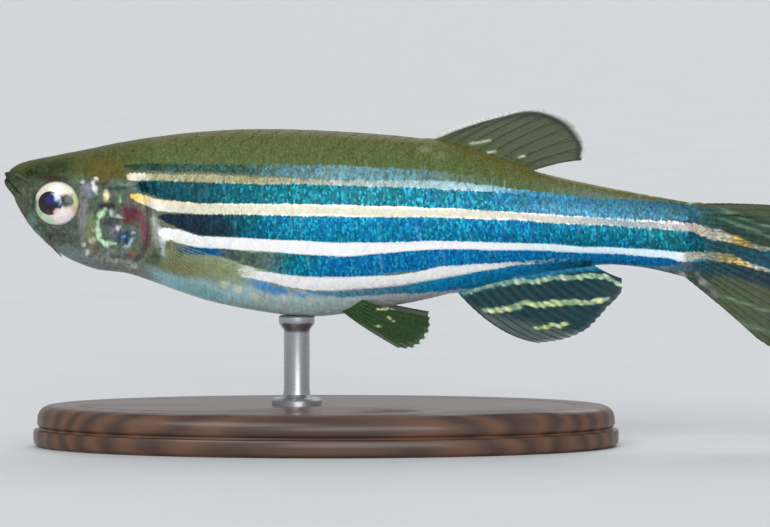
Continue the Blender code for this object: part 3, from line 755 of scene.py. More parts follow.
LIGHT_STRIPES = (
    ((7.15, 2.84, 2.56), (7.5, 2.94, 2.48), (8.4, 2.92, 2.52), (14.2, 2.74, 2.38), (19.5, 2.54, 2.24),
     (24.9, 2.5, 2.04), (27.5, 2.26, 1.88), (28.9, 2.06, 1.76), (33, 1.5, 1.38)),
    ((7.35, 1.76, 1.5), (7.9, 1.8, 1.24), (9, 1.47, 0.75), (11.3, 1.24, 0.61), (19.5, 1.13, 0.46),
     (24.9, 0.95, 0.38), (29.2, 0.69, 0.2), (34.5, 0.32, -0.12), (38.5, 0.1, -0.35), (39.7, 0, -0.48),
     (40.5, -0.2, -0.84), (41.4, -0.4, -1.08), (42, -0.64, -1.16), (42.5, -0.78, -1.32),
     (43.1, -1.04, -1.42), (43.7, -1.27, -1.56), (44.4, -1.42, -1.66), (47.2, -2.5, -2.7)),
    ((9, -0.4, -0.58), (9.3, -0.2, -0.92), (10.2, -0.29, -1.07), (11.3, -0.64, -1.33),
     (14.2, -0.78, -1.5), (19.5, -1.07, -1.85), (24.9, -0.95, -1.47), (31.3, -1.18, -1.59),
     (37.3, -1.53, -1.94), (38.4, -1.58, -2), (39.1, -1.66, -2.24), (39.4, -1.66, -2.3),
     (40.2, -1.66, -2.05), (41.1, -1.66, -2.2), (41.7, -1.72, -2.22), (42.3, -1.9, -2.31),
     (42.8, -2.14, -2.47), (43.4, -2.4, -2.62), (44.4, -2.75, -2.95), (46.8, -3.75, -3.95)),
    ((13.6, -2.45, -2.95), (14.9, -2.7, -3.25), (16.5, -2.97, -3.64), (18, -3.04, -3.86),
     (19.5, -3.03, -3.87), (22.9, -2.95, -3.58), (25.4, -2.43, -3.18), (29.2, -2.25, -2.49),
     (32.8, -2.05, -2.14)),
)

print("stripes:", len(DARK_STRIPES), "dark,", len(LIGHT_STRIPES), "light")

# %% [markdown]
# ### The stripes' colours
# Each row gives a stripe's colour at a distance from the snout, and how strongly a dark stripe sparkles
# there or how broken into specks a light one is. In front the dark stripes are nearly black. They turn
# to teal, then to clear blue, and go dull again on the tail fin.

# %% Colours of the stripes
DARK_COLOURS = (
    ((7, SLATE * 0.9, 0), (9, SLATE, 0.05), (14, SLATE * 1.3, 0.2), (19, MIST, 0.4), (23.5, MIST, 0.5),
     (25.4, rgb(112, 134, 116), 0.2), (28.6, OLIVE * 1.3, 0.1)),
    ((7.5, DEEP_TEAL, 0.1), (11.5, DEEP_TEAL, 0.15), (14, TEAL * 0.76, 0.5), (17, TEAL, 0.7),
     (22, TEAL * 0.95, 0.75), (28, rgb(0, 98, 126), 0.8), (31.5, rgb(66, 120, 152), 0.45),
     (36, rgb(66, 118, 142), 0.4), (39.2, rgb(60, 96, 106), 0.35), (40.6, rgb(44, 76, 72), 0.2),
     (42, rgb(34, 60, 44), 0.1), (47, SLATE, 0)),
    ((9.1, INK_NAVY, 0), (12.6, INK_NAVY, 0.1), (14.5, TEAL * 0.8, 0.7), (18, SEA_BLUE, 1),
     (24, SEA_BLUE * 0.84, 0.85), (30, SEA_BLUE * 0.84, 0.85), (38, TEAL * 0.86, 0.65),
     (40.4, DEEP_TEAL * 1.3, 0.3), (41.4, DEEP_TEAL, 0.1), (44, rgb(10, 70, 92), 0.2)),
    ((9.7, SEA_BLUE, 0.1), (12.2, BRIGHT_BLUE * 0.8, 0.2), (12.9, ASH, 0.1), (15.2, ASH * 1.3, 0.3),
     (16.6, TEAL * 1.4, 0.9), (19, BRIGHT_BLUE, 1), (33, BRIGHT_BLUE, 0.5),
     (38.8, BRIGHT_BLUE * 0.8, 0.2), (39.4, rgb(88, 108, 120), 0.1), (40.4, rgb(8, 62, 72), 0.1),
     (44, rgb(24, 46, 62), 0.1)),
    ((17.6, rgb(116, 172, 202), 0.2), (21, rgb(132, 180, 202), 0.4), (23.4, rgb(60, 160, 206), 0.5),
     (24.8, rgb(24, 168, 240), 0.6), (30, rgb(16, 150, 220), 0.5), (33.9, DEEP_TEAL, 0.2)),
)
LIGHT_COLOURS = (
    ((7.1, CREAM * 0.7, 0.4), (7.5, CREAM, 0.2), (8, CREAM * 0.9, 0.3), (8.8, TAN * 0.9, 0.6),
     (15, TAN * 0.86, 0.7), (20, SAGE * 0.94, 0.6), (24, rgb(160, 188, 192), 0.5),
     (27.5, rgb(178, 214, 224), 0.6), (30, STEEL_BLUE * 1.5, 0.8), (33, STEEL_BLUE * 1.2, 1)),
    ((7.35, AMBER, 0.3), (7.8, GOLD, 0.3), (8.6, rgb(250, 248, 238) * 0.84, 0.2),
     (12, CREAM * 0.77, 0.3), (16, CREAM * 0.82, 0.2), (26, CREAM * 0.78, 0.2),
     (31, rgb(216, 212, 200) * 0.9, 0.3), (36, rgb(148, 166, 172), 0.6), (39.5, rgb(198, 188, 184), 0.6),
     (40.6, rgb(196, 188, 166), 0.7), (41.8, CREAM * 0.7, 0.9), (42.3, GOLD, 1), (42.9, AMBER * 1.1, 1),
     (43.6, CREAM * 0.7, 1), (45, SAGE * 0.8, 1)),
    ((9, WHITE, 0.2), (14, WHITE, 0.05), (27, WHITE, 0), (32, ICE, 0.05), (38.9, ICE, 0.1),
     (39.2, WHITE, 0.2), (39.6, rgb(170, 176, 164), 0.6), (41.2, rgb(168, 160, 124), 0.8), (42, GOLD, 1),
     (42.8, GOLD, 1), (43.4, CREAM * 0.8, 1), (45, SAGE * 0.8, 1)),
    ((13.5, GREEN_WHITE, 0.5), (15, WHITE, 0.15), (28, WHITE, 0.1), (31, SAGE, 0.6),
     (32.8, STEEL_BLUE, 0.9)),
)


def stops(x, table):
    """Colours, and any numbers beside them, that change along the fish."""
    places = [row[0] for row in table]
    rows = np.array([[*row[1], *row[2:]] for row in table])
    return stack(*(np.interp(x, places, column) for column in rows.T))


def stripes(x, z, edges, colours):
    """The signed distance to the nearest stripe's edge, over 0 inside it, its colour and its number."""
    best, paint = np.full(x.shape, -1e9), np.zeros((*x.shape, 4))
    for edge, colour in zip(edges, colours):
        places, upper, lower = zip(*edge)
        top, foot = np.interp(x, places, upper), np.interp(x, places, lower)
        inside = np.minimum((top - foot) / 2 - np.abs(z - (top + foot) / 2), x - places[0])
        inside = np.minimum(inside, places[-1] - x)
        nearer = inside > best
        best = np.where(nearer, inside, best)
        paint = np.where(nearer[..., None], stops(x, colour), paint)
    return best, paint[..., :3], paint[..., 3]

# %% [markdown]
# ### Patches on the head
# The head has no stripes. It is olive bone under thin skin, with silver, green and wine-red places where
# the light meets crystals or blood. Its small white and near-white spots are partly that silver and partly
# painted highlights. Each row is a soft ellipse: its middle, half length and half height, turn in degrees,
# colour, strength and shine.

# %% Patches on the head
# The small white and near-white spots are partly silver and partly painted highlights
HEAD_PATCHES = (
    (5.8, 3.15, 1.7, 0.75, 10, OLIVE_BROWN, 0.9, 0),
    (2.4, 3.1, 1.6, 0.5, 12, rgb(40, 56, 28), 0.85, 0),
    # Painted shade: the dark brown arc under the brow, over the eye
    (2.95, 2.62, 1.1, 0.2, 0, BARK, 0.9, 0),
    (4.4, 2.62, 0.6, 0.26, -15, rgb(84, 118, 70), 0.7, 0.1),
    (0.15, 2.75, 0.28, 0.5, 0, rgb(36, 34, 26), 0.9, 0),
    (1.2, 1.4, 0.4, 1.2, 8, rgb(92, 98, 84), 0.6, 0.1),
    (1.55, 0.1, 0.34, 0.75, -30, rgb(92, 130, 124), 0.75, 0.2),
    (2.2, -0.75, 0.5, 0.3, -35, rgb(90, 120, 112), 0.7, 0.2),
    (3.2, -0.85, 1, 0.45, -8, rgb(70, 74, 66), 0.7, 0.1),
    (3.8, -1.65, 1.2, 0.42, -20, rgb(112, 132, 132), 0.75, 0.2),
    (5.6, -2.35, 1.3, 0.35, -14, rgb(116, 128, 130), 0.7, 0.2),
    (4.62, 0.4, 0.34, 1.5, 2, rgb(134, 134, 132), 0.85, 0.25),
    (5.1, -0.1, 0.3, 0.8, 0, rgb(140, 150, 92), 0.65, 0.3),
    (5.15, -0.95, 0.3, 0.22, 0, rgb(206, 196, 160), 0.75, 0.5),
    (4.95, 1.95, 0.34, 0.5, 15, rgb(134, 130, 154), 0.8, 0.4),
    (5.3, 2.12, 0.13, 0.42, 15, WHITE, 0.9, 0.8),
    (5.42, 2.55, 0.13, 0.12, 0, CREAM, 0.9, 0.8),
    (4.62, 2.4, 0.16, 0.1, 0, rgb(206, 222, 226), 0.8, 0.6),
    (6.03, 1.66, 0.2, 0.36, 0, rgb(255, 240, 180), 0.95, 0.9),
    (6.78, 1.42, 0.08, 0.24, 0, rgb(186, 226, 160), 0.8, 0.5),
    (6.5, 2.08, 0.95, 0.14, 3, rgb(24, 60, 56), 0.85, 0),
    (7.1, 2.3, 0.7, 0.12, 5, rgb(126, 150, 136), 0.7, 0.3),
    (5.75, 2.32, 0.5, 0.12, 8, rgb(70, 46, 26), 0.7, 0),
    (6.05, 0.98, 0.66, 0.34, 0, rgb(46, 36, 42), 0.9, 0),
    (7.45, 0.6, 0.75, 0.56, -18, MAROON, 0.95, 0.1),
    (8.2, -0.3, 0.28, 1.2, 8, rgb(128, 72, 88), 0.85, 0.1),
    (7.15, 0.3, 0.5, 0.26, -25, rgb(92, 46, 30), 0.8, 0),
    (6.2, 0.15, 0.46, 0.46, 0, rgb(62, 66, 72), 0.85, 0.3),
    (6.5, -0.3, 0.42, 0.42, 0, rgb(124, 112, 136), 0.75, 0.4),
    (6.3, 0.62, 0.16, 0.22, 0, rgb(196, 222, 200), 0.75, 0.6),
    (6.72, 0.42, 0.3, 0.08, -5, rgb(214, 206, 200), 0.8, 0.7),
    (6.72, -0.2, 0.15, 0.12, 0, WHITE, 0.95, 0.8),
    (7.05, -0.75, 0.6, 0.5, -12, rgb(34, 54, 88), 0.92, 0.3),
    (7.42, -0.98, 0.12, 0.34, -35, rgb(176, 214, 232), 0.9, 0.6),
    (7.2, -1.28, 0.26, 0.1, 20, rgb(176, 214, 226), 0.85, 0.6),
    (6.95, -0.72, 0.2, 0.1, 30, rgb(84, 160, 204), 0.9, 0.5),
    (7.6, -0.5, 0.18, 0.08, 0, rgb(206, 206, 226), 0.85, 0.5),
    (4.62, -1.2, 0.12, 0.16, 0, rgb(206, 212, 196), 0.85, 0.6),
    (4.86, -1.66, 0.14, 0.18, 0, rgb(222, 226, 200), 0.9, 0.6),
    (5.35, -1.55, 0.34, 0.3, 0, rgb(104, 78, 66), 0.6, 0.1),
    (6.1, -1.72, 0.14, 0.12, 0, rgb(214, 196, 216), 0.8, 0.5),
    (6.9, -1.85, 1.2, 0.3, -12, rgb(92, 96, 100), 0.6, 0.1),
    (7.5, -1.75, 0.42, 0.36, 10, rgb(128, 92, 78), 0.75, 0),
    (7.4, -2.45, 0.36, 0.2, 0, rgb(196, 208, 186), 0.85, 0.5),
    (6.5, -2.15, 0.12, 0.2, 0, rgb(150, 158, 152), 0.7, 0.4),
    (8.9, -0.5, 0.3, 0.9, 6, rgb(168, 178, 166), 0.85, 0.4),
    (8.72, 0.22, 0.18, 0.34, 8, rgb(186, 196, 186), 0.8, 0.5),
    (8.7, -1.1, 0.14, 0.26, 0, rgb(96, 106, 96), 0.7, 0.2),
    (9.3, -0.85, 0.2, 0.26, 10, rgb(232, 240, 242), 0.9, 0.7),
    (8.85, -1.9, 0.24, 0.44, 10, rgb(66, 76, 64), 0.8, 0),
    (9.25, -1.45, 0.12, 0.55, 8, rgb(196, 210, 218), 0.8, 0.6),
    (9.1, -0.35, 0.16, 0.2, 0, rgb(216, 232, 240), 0.85, 0.6),
)

print("patches on the head:", len(HEAD_PATCHES))

# %% [markdown]
# ### Patches on the body
# The same on the flank: specks before the dorsal fin and on the tail stalk, and the belly, where the
# lowest light stripe breaks up into blue and silver. Its white spots are partly that silver and partly
# painted highlights. A last mark is the bright green edge of the cheek's bone. The patches' edges wander,
# so that none looks like an ellipse.

# %% Patches on the body
# The white and near-white spots on the belly are partly silver and partly painted highlights
FLANK_PATCHES = (
    (24.4, 4.25, 0.5, 0.2, 0, rgb(140, 148, 118), 0.5, 0.3),
    (25.3, 3.9, 0.4, 0.14, 20, rgb(134, 142, 112), 0.5, 0.3),
    (35.4, 1.9, 0.14, 0.07, 0, rgb(196, 186, 110), 0.8, 0.5),
    (37.4, 1.55, 0.16, 0.07, 0, rgb(206, 186, 96), 0.8, 0.5),
    (39.7, 1.12, 0.24, 0.1, 0, rgb(150, 196, 160), 0.8, 0.5),
    (10.6, -2.5, 1.5, 0.5, -8, rgb(136, 134, 84), 0.7, 0.2),
    (12.8, -2.7, 1, 0.5, -12, rgb(146, 158, 112), 0.7, 0.3),
    (14.1, -3.05, 0.5, 0.3, -25, rgb(96, 160, 206), 0.9, 0.5),
    (14.1, -2.72, 0.46, 0.36, 0, rgb(252, 255, 240), 1, 0.9),
    (15.1, -3.6, 0.9, 0.36, -22, rgb(78, 156, 216), 0.95, 0.5),
    (16, -3.85, 0.5, 0.26, -12, rgb(40, 140, 206), 0.95, 0.5),
    (17.2, -4.08, 0.7, 0.16, -10, rgb(70, 150, 206), 0.85, 0.5),
    (18.9, -4.12, 1.3, 0.16, -4, rgb(110, 172, 210), 0.7, 0.4),
    (12.75, -3.42, 0.32, 0.22, 0, rgb(246, 244, 176), 0.97, 0.7),
    (13.55, -3.78, 0.28, 0.26, 0, rgb(252, 248, 216), 0.95, 0.7),
    (16.15, -4.25, 0.26, 0.16, 0, rgb(226, 226, 240), 0.85, 0.6),
    (17.6, -4.4, 0.2, 0.2, 0, rgb(226, 214, 176), 0.8, 0.6),
    (13.1, -3.2, 0.3, 0.16, -20, rgb(160, 196, 214), 0.8, 0.5),
    (14.6, -4.25, 0.42, 0.2, -10, rgb(226, 232, 196), 0.8, 0.7),
    (11, -3.7, 1.8, 0.42, -18, rgb(150, 206, 218), 0.8, 0.4),
    (16.3, -4.7, 0.5, 0.16, 0, rgb(196, 190, 196), 0.6, 0.5),
    (19.2, -4.75, 0.5, 0.14, 0, rgb(190, 190, 194), 0.6, 0.5),
    (21.5, -4.5, 0.6, 0.12, 5, rgb(172, 164, 160), 0.5, 0.4),
)
GREEN_ARC = ((5.95, 0.86), (5.55, 0.42), (5.48, -0.3), (5.6, -0.95), (5.95, -1.15), (6.5, -1.12))


def lay_patches(points, ground, shine, patches):
    warped = points + 0.06 * stack(*(ripple(points, 0.4, seed) for seed in (11, 12, 13)))
    for *place, colour, strength, gloss in patches:
        cover = ellipse_cover(*side_view(warped), (*place, strength), (0.35, 1.35))
        ground = blend_to(ground, colour, cover)
        shine = shine + (gloss - shine) * cover
    return ground, shine


def green_arc(points, ground, shine):
    warped = points + 0.05 * stack(*(ripple(points, 0.35, seed) for seed in (14, 15, 16)))
    far, share = line_distance(*side_view(warped), GREEN_ARC)
    width = 0.12 + 0.05 * np.sin(share * 17)
    cover = 0.9 * (1 - rise(far, width * 0.4, width * 1.5))
    return blend_to(ground, MINT, cover), shine + (0.8 - shine) * cover


print("patches on the body:", len(FLANK_PATCHES))

# %% [markdown]
# ### The ground between the stripes
# A fish is dark above and pale below. An olive back turns to a tan and blue flank and then to a silver
# belly, along lines that follow the stripes. The face has its own tones, and the nape joins it to the
# back.

# %% Ground colour
FLANK_TONES = ((7, ASH), (12, TAN * 0.5), (24, MIST * 0.8), (34, STEEL_BLUE * 0.8))
BELLY_TONES = (
    (2, ASH), (8, CHEEK_GREY), (9.5, BELLY_BLUE), (12, BELLY_BLUE), (15, BELLY_GREY),
    (19, BELLY_GREY), (22, LILAC_GREY), (27, LILAC_GREY), (40, SLATE),
)
SHOULDER_TONES = ((8, ASH), (9.5, rgb(138, 148, 112)), (14, rgb(172, 194, 152)))
FACE_TONES = ((1, SNOUT_GREEN), (3, ASH * 0.85), (6, ASH))
NAPE_TONES = ((1, OLIVE * 0.6), (5, OLIVE * 0.72), (9.5, OLIVE * 0.98))
# Distances from the snout and the heights there at which one ground gives way to the next
BACK_EDGE = ((6.6, 14.2, 25.4, 34.5, 40), (3.2, 2.9, 2.2, 1.2, 0.5))
BELLY_EDGE = ((8, 10, 13, 17, 25.4, 33, 40), (-2.3, -3, -3.3, -3.8, -3.4, -2.5, -2.6))
CROWN_EDGE = ((0, 3, 7), (2.9, 2.5, 2.5))


def body_tone(points, under_back):
    x, z = side_view(points)
    upper = blend_to(OLIVE, OLIVE_BROWN, 0.55 * rise(1.2 - under_back, 0, 1.2))
    gilt = 0.45 * rise(0.18 - under_back, 0, 0.16) * rise(x, 22, 31)
    upper = blend_to(upper, RIM_GOLD, gilt * rise(ripple(points, 1.4, 45), -0.6, 0.4))
    stalk = 0.6 * rise(x, 29, 36) * rise(under_back, 0.15, 0.6)
    upper = blend_to(upper, rgb(112, 138, 132), stalk)
    rosy = rise(ripple(points, 0.9, 47), 0.1, 1) * rise(x, 12, 16)
    belly = blend_to(stops(x, BELLY_TONES), ROSE_GREY, 0.55 * rosy)
    belly = belly * (1 + 0.12 * ripple(points, 0.35, 48))[..., None]
    low = rise(np.interp(x, *BELLY_EDGE) - z, -0.35, 0.35)
    tone = blend_to(stops(x, FLANK_TONES), upper, rise(z - np.interp(x, *BACK_EDGE), -0.15, 0.15))
    shoulder = rise(x, 8.6, 9.6) * (1 - rise(x, 14, 17)) * rise(-1.3 - z, 0, 0.25)
    return blend_to(blend_to(tone, belly, low), stops(x, SHOULDER_TONES), 0.9 * shoulder * (1 - low))


def face_tone(points, under_back):
    x, z = side_view(points)
    nape = blend_to(stops(x, NAPE_TONES), OLIVE_BROWN * 0.85, 0.5 * rise(1.2 - under_back, 0, 1.2))
    tone = blend_to(stops(x, FACE_TONES), CHEEK_GREY, rise(-1.0 - z, 0, 1.2))
    return blend_to(tone, nape, rise(z - np.interp(x, *CROWN_EDGE), -0.3, 0.5))


def ground_colour(points):
    x, z = side_view(points)
    under_back = back_line(x) - z
    joined = rise(x, 7.2, 8.8)
    joined = joined + (rise(x, 6.4, 10.6) - joined) * rise(z, 2.9, 3.5)
    return blend_to(face_tone(points, under_back), body_tone(points, under_back), joined)

# %% [markdown]
# ### All the markings of a place
# The material gets its pattern as attributes: three colours, for the ground and the nearest dark and
# light stripe, the distances to both, and how much the place shines, sparkles or breaks up. The same
# function answers for skin and scales, so the stripes run over both.

# %% Markings
GOLD_EDGE = ((7.4, 1.7), (9.0, 1.38), (11.3, 1.16), (14.5, 1.12))


def markings(points):
    points = on_left(points)
    x, z = side_view(points)
    wander = 0.04 * ripple(points * (0.5, 1, 1), 1.1, 21)
    dark, ink, sparkle = stripes(x, z + wander, DARK_STRIPES, DARK_COLOURS)
    light, gleam, broken = stripes(x, z + wander * 0.7, LIGHT_STRIPES, LIGHT_COLOURS)
    far, share = line_distance(x, z, GOLD_EDGE)
    gleam = blend_to(gleam, GOLD, 0.5 * ridge(far, 0.14) * (1 - rise(share, 0.3, 0.9)))
    shine = 0.25 - 0.19 * rise(z, 1.6, 3.2) + 0.5 * rise(-z, 2.4, 4)
    upright_light = ridge(z - np.interp(x, (14, 31), (3.3, 2)), 0.55)
    shine = shine + 0.7 * upright_light * rise(x, 15, 20) * rise(33.0 - x, 0, 7)
    ground = ground_colour(points)
    for patches in (HEAD_PATCHES, FLANK_PATCHES):
        ground, shine = lay_patches(points, ground, shine, patches)
    ground, shine = green_arc(points, ground, shine)
    return {
        "ground": ground,
        "ink": ink,
        "gleam": gleam,
        "marks": stack(dark, light, shine),
        "life": stack(sparkle, broken, 1 - rise(x, 8, 9.4)),
    }


print("attributes:", *markings(flank([20], 1.5)))

# %% [markdown]
# ## From points to pieces
# Every piece is made the same way. Points and faces become a mesh, attributes carry the pattern, a map
# named OFBake says where its colours are baked, and the object gets its finish and body. All shapes are
# rings closed by a pole at each end, or grids closed by a rim.


# %% Meshes, attributes and pieces
def write_attributes(mesh, attributes):
    for name, values in attributes.items():
        values = np.asarray(values, np.float32)
        kind, field = ("FLOAT", "value") if values.ndim == 1 else ("FLOAT_VECTOR", "vector")
        layer = mesh.attributes.get(name) or mesh.attributes.new(name, kind, "POINT")
        layer.data.foreach_set(field, values.ravel())


def write_chart(mesh, uv):
    """Gives every corner the place of its vertex on the unwrap that the colours are baked to."""
    layer = mesh.uv_layers.get("OFBake") or mesh.uv_layers.new(name="OFBake")
    corner = np.empty(len(mesh.loops), np.int32)
    mesh.loops.foreach_get("vertex_index", corner)
    layer.data.foreach_set("uv", np.asarray(uv, np.float32)[corner].ravel())


def piece(name, mesh, finish, replaces=(), sharp=None):
    """Puts a finished mesh, in place and in metres, into the scene as a piece of the object."""
    mesh.name = name
    mesh.shade_smooth()
    if sharp is not None:
        mesh.set_sharp_from_angle(angle=radians(sharp))
    mesh.materials.clear()
    mesh.materials.append(finish)
    made = bpy.data.objects.new(name, mesh)
    scene.collection.objects.link(made)
    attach(made, "root")
    if replaces:
        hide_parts(*replaces)
    corners = sum(len(p.vertices) - 2 for p in mesh.polygons)
    print(f"{name}: {corners} triangles")
    return made


def mesh_of(points, faces, edges=()):
    mesh = bpy.data.meshes.new("mesh")
    mesh.from_pydata(np.asarray(points).reshape(-1, 3).tolist(), edges, faces)
    return mesh


def step_edges(count, start=0):
    return [(start + k, start + k + 1) for k in range(count - 1)]


def closed_tube(rings, around):
    """Faces of rings of points, one after another, with the two poles that close them stored after them."""
    i, j = np.meshgrid(np.arange(rings - 1), np.arange(around), indexing="ij")
    a, b = i * around + j, i * around + (j + 1) % around
    faces = stack(a, b, b + around, a + around).reshape(-1, 4).tolist()
    last, poles = (rings - 1) * around, rings * around
    faces += [(poles, (k + 1) % around, k) for k in range(around)]
    return faces + [(poles + 1, last + k, last + (k + 1) % around) for k in range(around)]


def grid_faces(columns, rows):
    """Quads of a grid of points that is stored column by column, and the points round its rim."""
    grid = np.arange(columns * rows).reshape(columns, rows)
    quads = stack(grid[:-1, :-1], grid[1:, :-1], grid[1:, 1:], grid[:-1, 1:]).reshape(-1, 4)
    rim = [*grid[:-1, 0], *grid[-1, :-1], *grid[:0:-1, -1], *grid[0, :0:-1]]
    return quads, [int(k) for k in rim]


SIDES = (("left", -1), ("right", 1))

# %% [markdown]
# ## Skin
# One closed surface from the snout to the root of the tail fin. Its rings lie close together on the
# head, where every form is a few tenths of a millimetre. At the end of the tail stalk they narrow to a
# wedge, so the flesh runs out onto the tail fin.

# %% Skin mesh
SKIN_AROUND = 216
WEDGE_START = STANDARD_LENGTH - 0.4
WEDGE_END = WEDGE_START + 1.1

snout_steps = 0.02 + 0.6 * np.linspace(0, 1, 22, endpoint=False) ** 1.7
head_steps = np.arange(0.62, 9.6, 0.066)
body_steps = np.arange(9.6, WEDGE_START, 0.128)
wedge_steps = np.linspace(WEDGE_START, WEDGE_END, 12)
stations = np.concatenate([snout_steps, head_steps, body_steps, wedge_steps])

angles = np.linspace(0, 2 * pi, SKIN_AROUND, endpoint=False)
station, turn = np.meshgrid(stations, angles, indexing="ij")
skin_rings = on_skin(station, turn)
skin_rings[..., 1] *= 1 - rise(station, WEDGE_START - 0.5, WEDGE_END) * 0.98
skin_rings[..., 0] += 0.45 * np.sin(turn) ** 2 * rise(station, 38, STANDARD_LENGTH)
snout_tip = skin_rings[0].mean(axis=0) - (0.015, 0, 0)
tail_end = skin_rings[-1].mean(axis=0) + (0.1, 0, 0)
skin_points = np.concatenate([skin_rings.reshape(-1, 3), [snout_tip, tail_end]])
skin_mesh = mesh_of(set_in_place(skin_points), closed_tube(len(stations), SKIN_AROUND))
print("skin rings:", len(stations))

# %% [markdown]
# ### The skin's pattern and unwrap
# The unwrap follows the skin's own shape: one way from snout to tail, the other way round the body, with
# the back on the middle line, the left side below it and the right side above. The material's noise and
# cells are laid in the same measures, so they follow the body.

# %% Pattern and unwrap of the skin
CHART_LENGTH = STANDARD_LENGTH + 2
CHART_ROUND = 34.0
CHART_MARGIN = 0.03
CHART_SPAN = 0.94


def chart_place(x, arc):
    """The place on the unwrap at a distance from the snout and one round the body from the back."""
    return stack(x / CHART_LENGTH * CHART_SPAN + CHART_MARGIN, 0.5 + arc / CHART_ROUND)


def arc_from_back(rings):
    """The distance round each ring from the back, the same on both sides."""
    steps = np.linalg.norm(np.diff(rings, axis=1, append=rings[:, :1]), axis=-1)
    arc = np.concatenate([np.zeros((len(rings), 1)), np.cumsum(steps, axis=1)[:, :-1]], axis=1)
    whole = steps.sum(axis=1, keepdims=True)
    return np.minimum(arc, whole - arc)


skin_arc = arc_from_back(skin_rings)
lie = stack(station, skin_arc, skin_rings[..., 1]).reshape(-1, 3)
lie = np.concatenate([lie, [(0.0, 0.0, 0.0), (STANDARD_LENGTH + 1, 0.0, 0.0)]])
on_side = np.where(np.arange(SKIN_AROUND) <= SKIN_AROUND // 2, -1.0, 1.0)
skin_chart = chart_place(station, skin_arc * on_side).reshape(-1, 2)
chart_ends = [(CHART_MARGIN, 0.5), (CHART_MARGIN + CHART_SPAN + 0.01, 0.5)]
write_attributes(skin_mesh, {**markings(skin_points), "lie": lie, "rim": np.zeros(len(skin_points))})
write_chart(skin_mesh, np.concatenate([skin_chart, chart_ends]))
print("round the deepest ring:", (2 * skin_arc.max()).round(1), "mm")

# %% [markdown]
# ## The finish of skin and scales
# The blue of a danio is structural: tiny cells of crystals shimmer from navy to cyan, in upright columns
# about a seventh of a millimetre wide. Voronoi cells stretched that way stand for them. Silver and gold
# stripes are smoother and brighter. The back has small dark pigment spots and upright streaks.

# %% Recipe of skin and scales
CELL_COLUMNS = (9.4, 6.2, 6.2)  # cells for each millimetre along, round and through the body
SKY = rgb(40, 206, 236)
SEA_GREEN = rgb(0, 150, 140)
PURE_BLUE = rgb(0, 96, 190)


def fish_finish(name, bump_depth):
    paint = Finish(name)
    lie = paint.attribute("lie")

    def grained(stretch, detail):
        return paint.noise(paint.stretch(lie, stretch), 1.0, detail)

    def celled(stretch, output="Color"):
        return paint.cells(paint.stretch(lie, stretch), output)

    ground, ink = paint.attribute("ground", "Color"), paint.attribute("ink", "Color")
    gleam = paint.attribute("gleam", "Color")
    dark, light, shine = paint.parts(paint.attribute("marks"))
    sparkle, broken, head = paint.parts(paint.attribute("life"))
    rim = paint.attribute("rim", "Fac")

    # Edges of the stripes, frayed in upright columns
    columns = grained((7.0, 1.3, 1.3), 3.0) - 0.5
    in_dark = paint.fade(dark + columns * 0.34 + sparkle * 0.08, -0.12, 0.0)
    cell, tint, glint = paint.parts(celled(CELL_COLUMNS))
    in_light = paint.fade(light + columns * 0.16 - broken * (0.5 - cell) * 0.14, -0.04, 0.05)

    # Upright strokes of light, like the shine on rows of scales
    strokes = grained((3.6, 0.55, 0.55), 3.0)
    glints = paint.fade(strokes, 0.56, 0.74) * (1 - head)

    # Blue cells: teal and pure blue in patches, with bright specks
    patches = grained((0.9, 0.9, 0.9), 2.0)
    blue = paint.mix(paint.fade(patches, 0.45, 0.7) * 0.35 * sparkle, ink, PURE_BLUE)
    blue = paint.mix(paint.fade(tint, 0.5, 0.95) * 0.4 * sparkle, blue, SEA_GREEN)
    blue = paint.dim(blue, 0.55 + columns * 0.5 + cell * 0.72)
    speck = paint.fade(glint + columns * 0.5, 0.66, 1.0)
    blue = paint.mix(speck * sparkle * 0.66, blue, SKY)
    blue = paint.mix(glints * (sparkle * 0.2 + shine * shine * 0.6), blue, rgb(132, 206, 224))

    # The ground between the stripes: fine upright streaks, dark spots, and mottling on the head
    streak = grained((6.0, 0.9, 0.9), 3.0)
    grain = grained((9.0, 4.5, 4.5), 2.0)
    mottle = grained((3.4, 3.0, 3.0), 4.0)
    spots = celled((4.2, 4.2, 4.2), "Distance")
    spotted = 1 - paint.fade(0.3 - spots, 0.0, 0.12) * 0.3 * (1 - shine)
    base = paint.dim(ground, (0.36 + streak * 0.66 + grain * 0.6) * spotted * (1 - rim * 0.04))
    base = paint.mix(paint.fade(grain, 0.5, 0.72) * (1 - head) * 0.22, base, rgb(150, 146, 118))
    base = paint.mix(glints * shine * 0.6, base, rgb(186, 212, 214))
    glow = paint.fade(mottle, 0.5, 0.78) * (0.06 + shine * 0.7)
    base = paint.mix(glow * head, base, rgb(176, 184, 176))
    base = paint.mix(paint.fade(0.5 - mottle, 0.0, 0.25) * head * 0.5, base, rgb(38, 44, 32))

    flecks = celled((3.0, 3.0, 3.0), "Distance")
    flecks = (1 - paint.fade(flecks, 0.1, 0.24)) * head * shine * paint.fade(shine, 0.05, 0.3)
    base = paint.mix(flecks * 0.8, base, rgb(208, 210, 204))

    # Silver: satin, with specks where the stripe breaks up
    satin = grained((5.0, 2.0, 2.0), 2.0)
    silver = paint.dim(gleam, 0.86 + satin * 0.28 + (cell - 0.6) * broken * 0.9)

    colour = paint.mix(in_dark, base, blue)
    colour = paint.mix(in_light, colour, silver)
    relief = paint.bump(cell * 0.5 + streak * 0.5, bump_depth, 0.6)
    return paint.finish(
        Base_Color=colour,
        Roughness=0.44 - in_light * 0.1 - shine * 0.08 - cell * in_dark * 0.1,
        Metallic=in_dark * 0.4 + in_light * 0.05 + shine * 0.1,
        Specular_IOR_Level=0.12,
        Coat_Weight=shine * 0.25 + in_light * 0.1,
        Coat_Roughness=0.12,
        Normal=relief,
    )


skin_finish = fish_finish("danio skin", 0.00002)
scale_finish = fish_finish("danio scale", 0.00001)

piece(
    "danio_skin", skin_mesh, skin_finish,
    ("head", "lower_jaw", "trunk", "tail_stalk", "gill_cover_left", "gill_cover_right"),
)

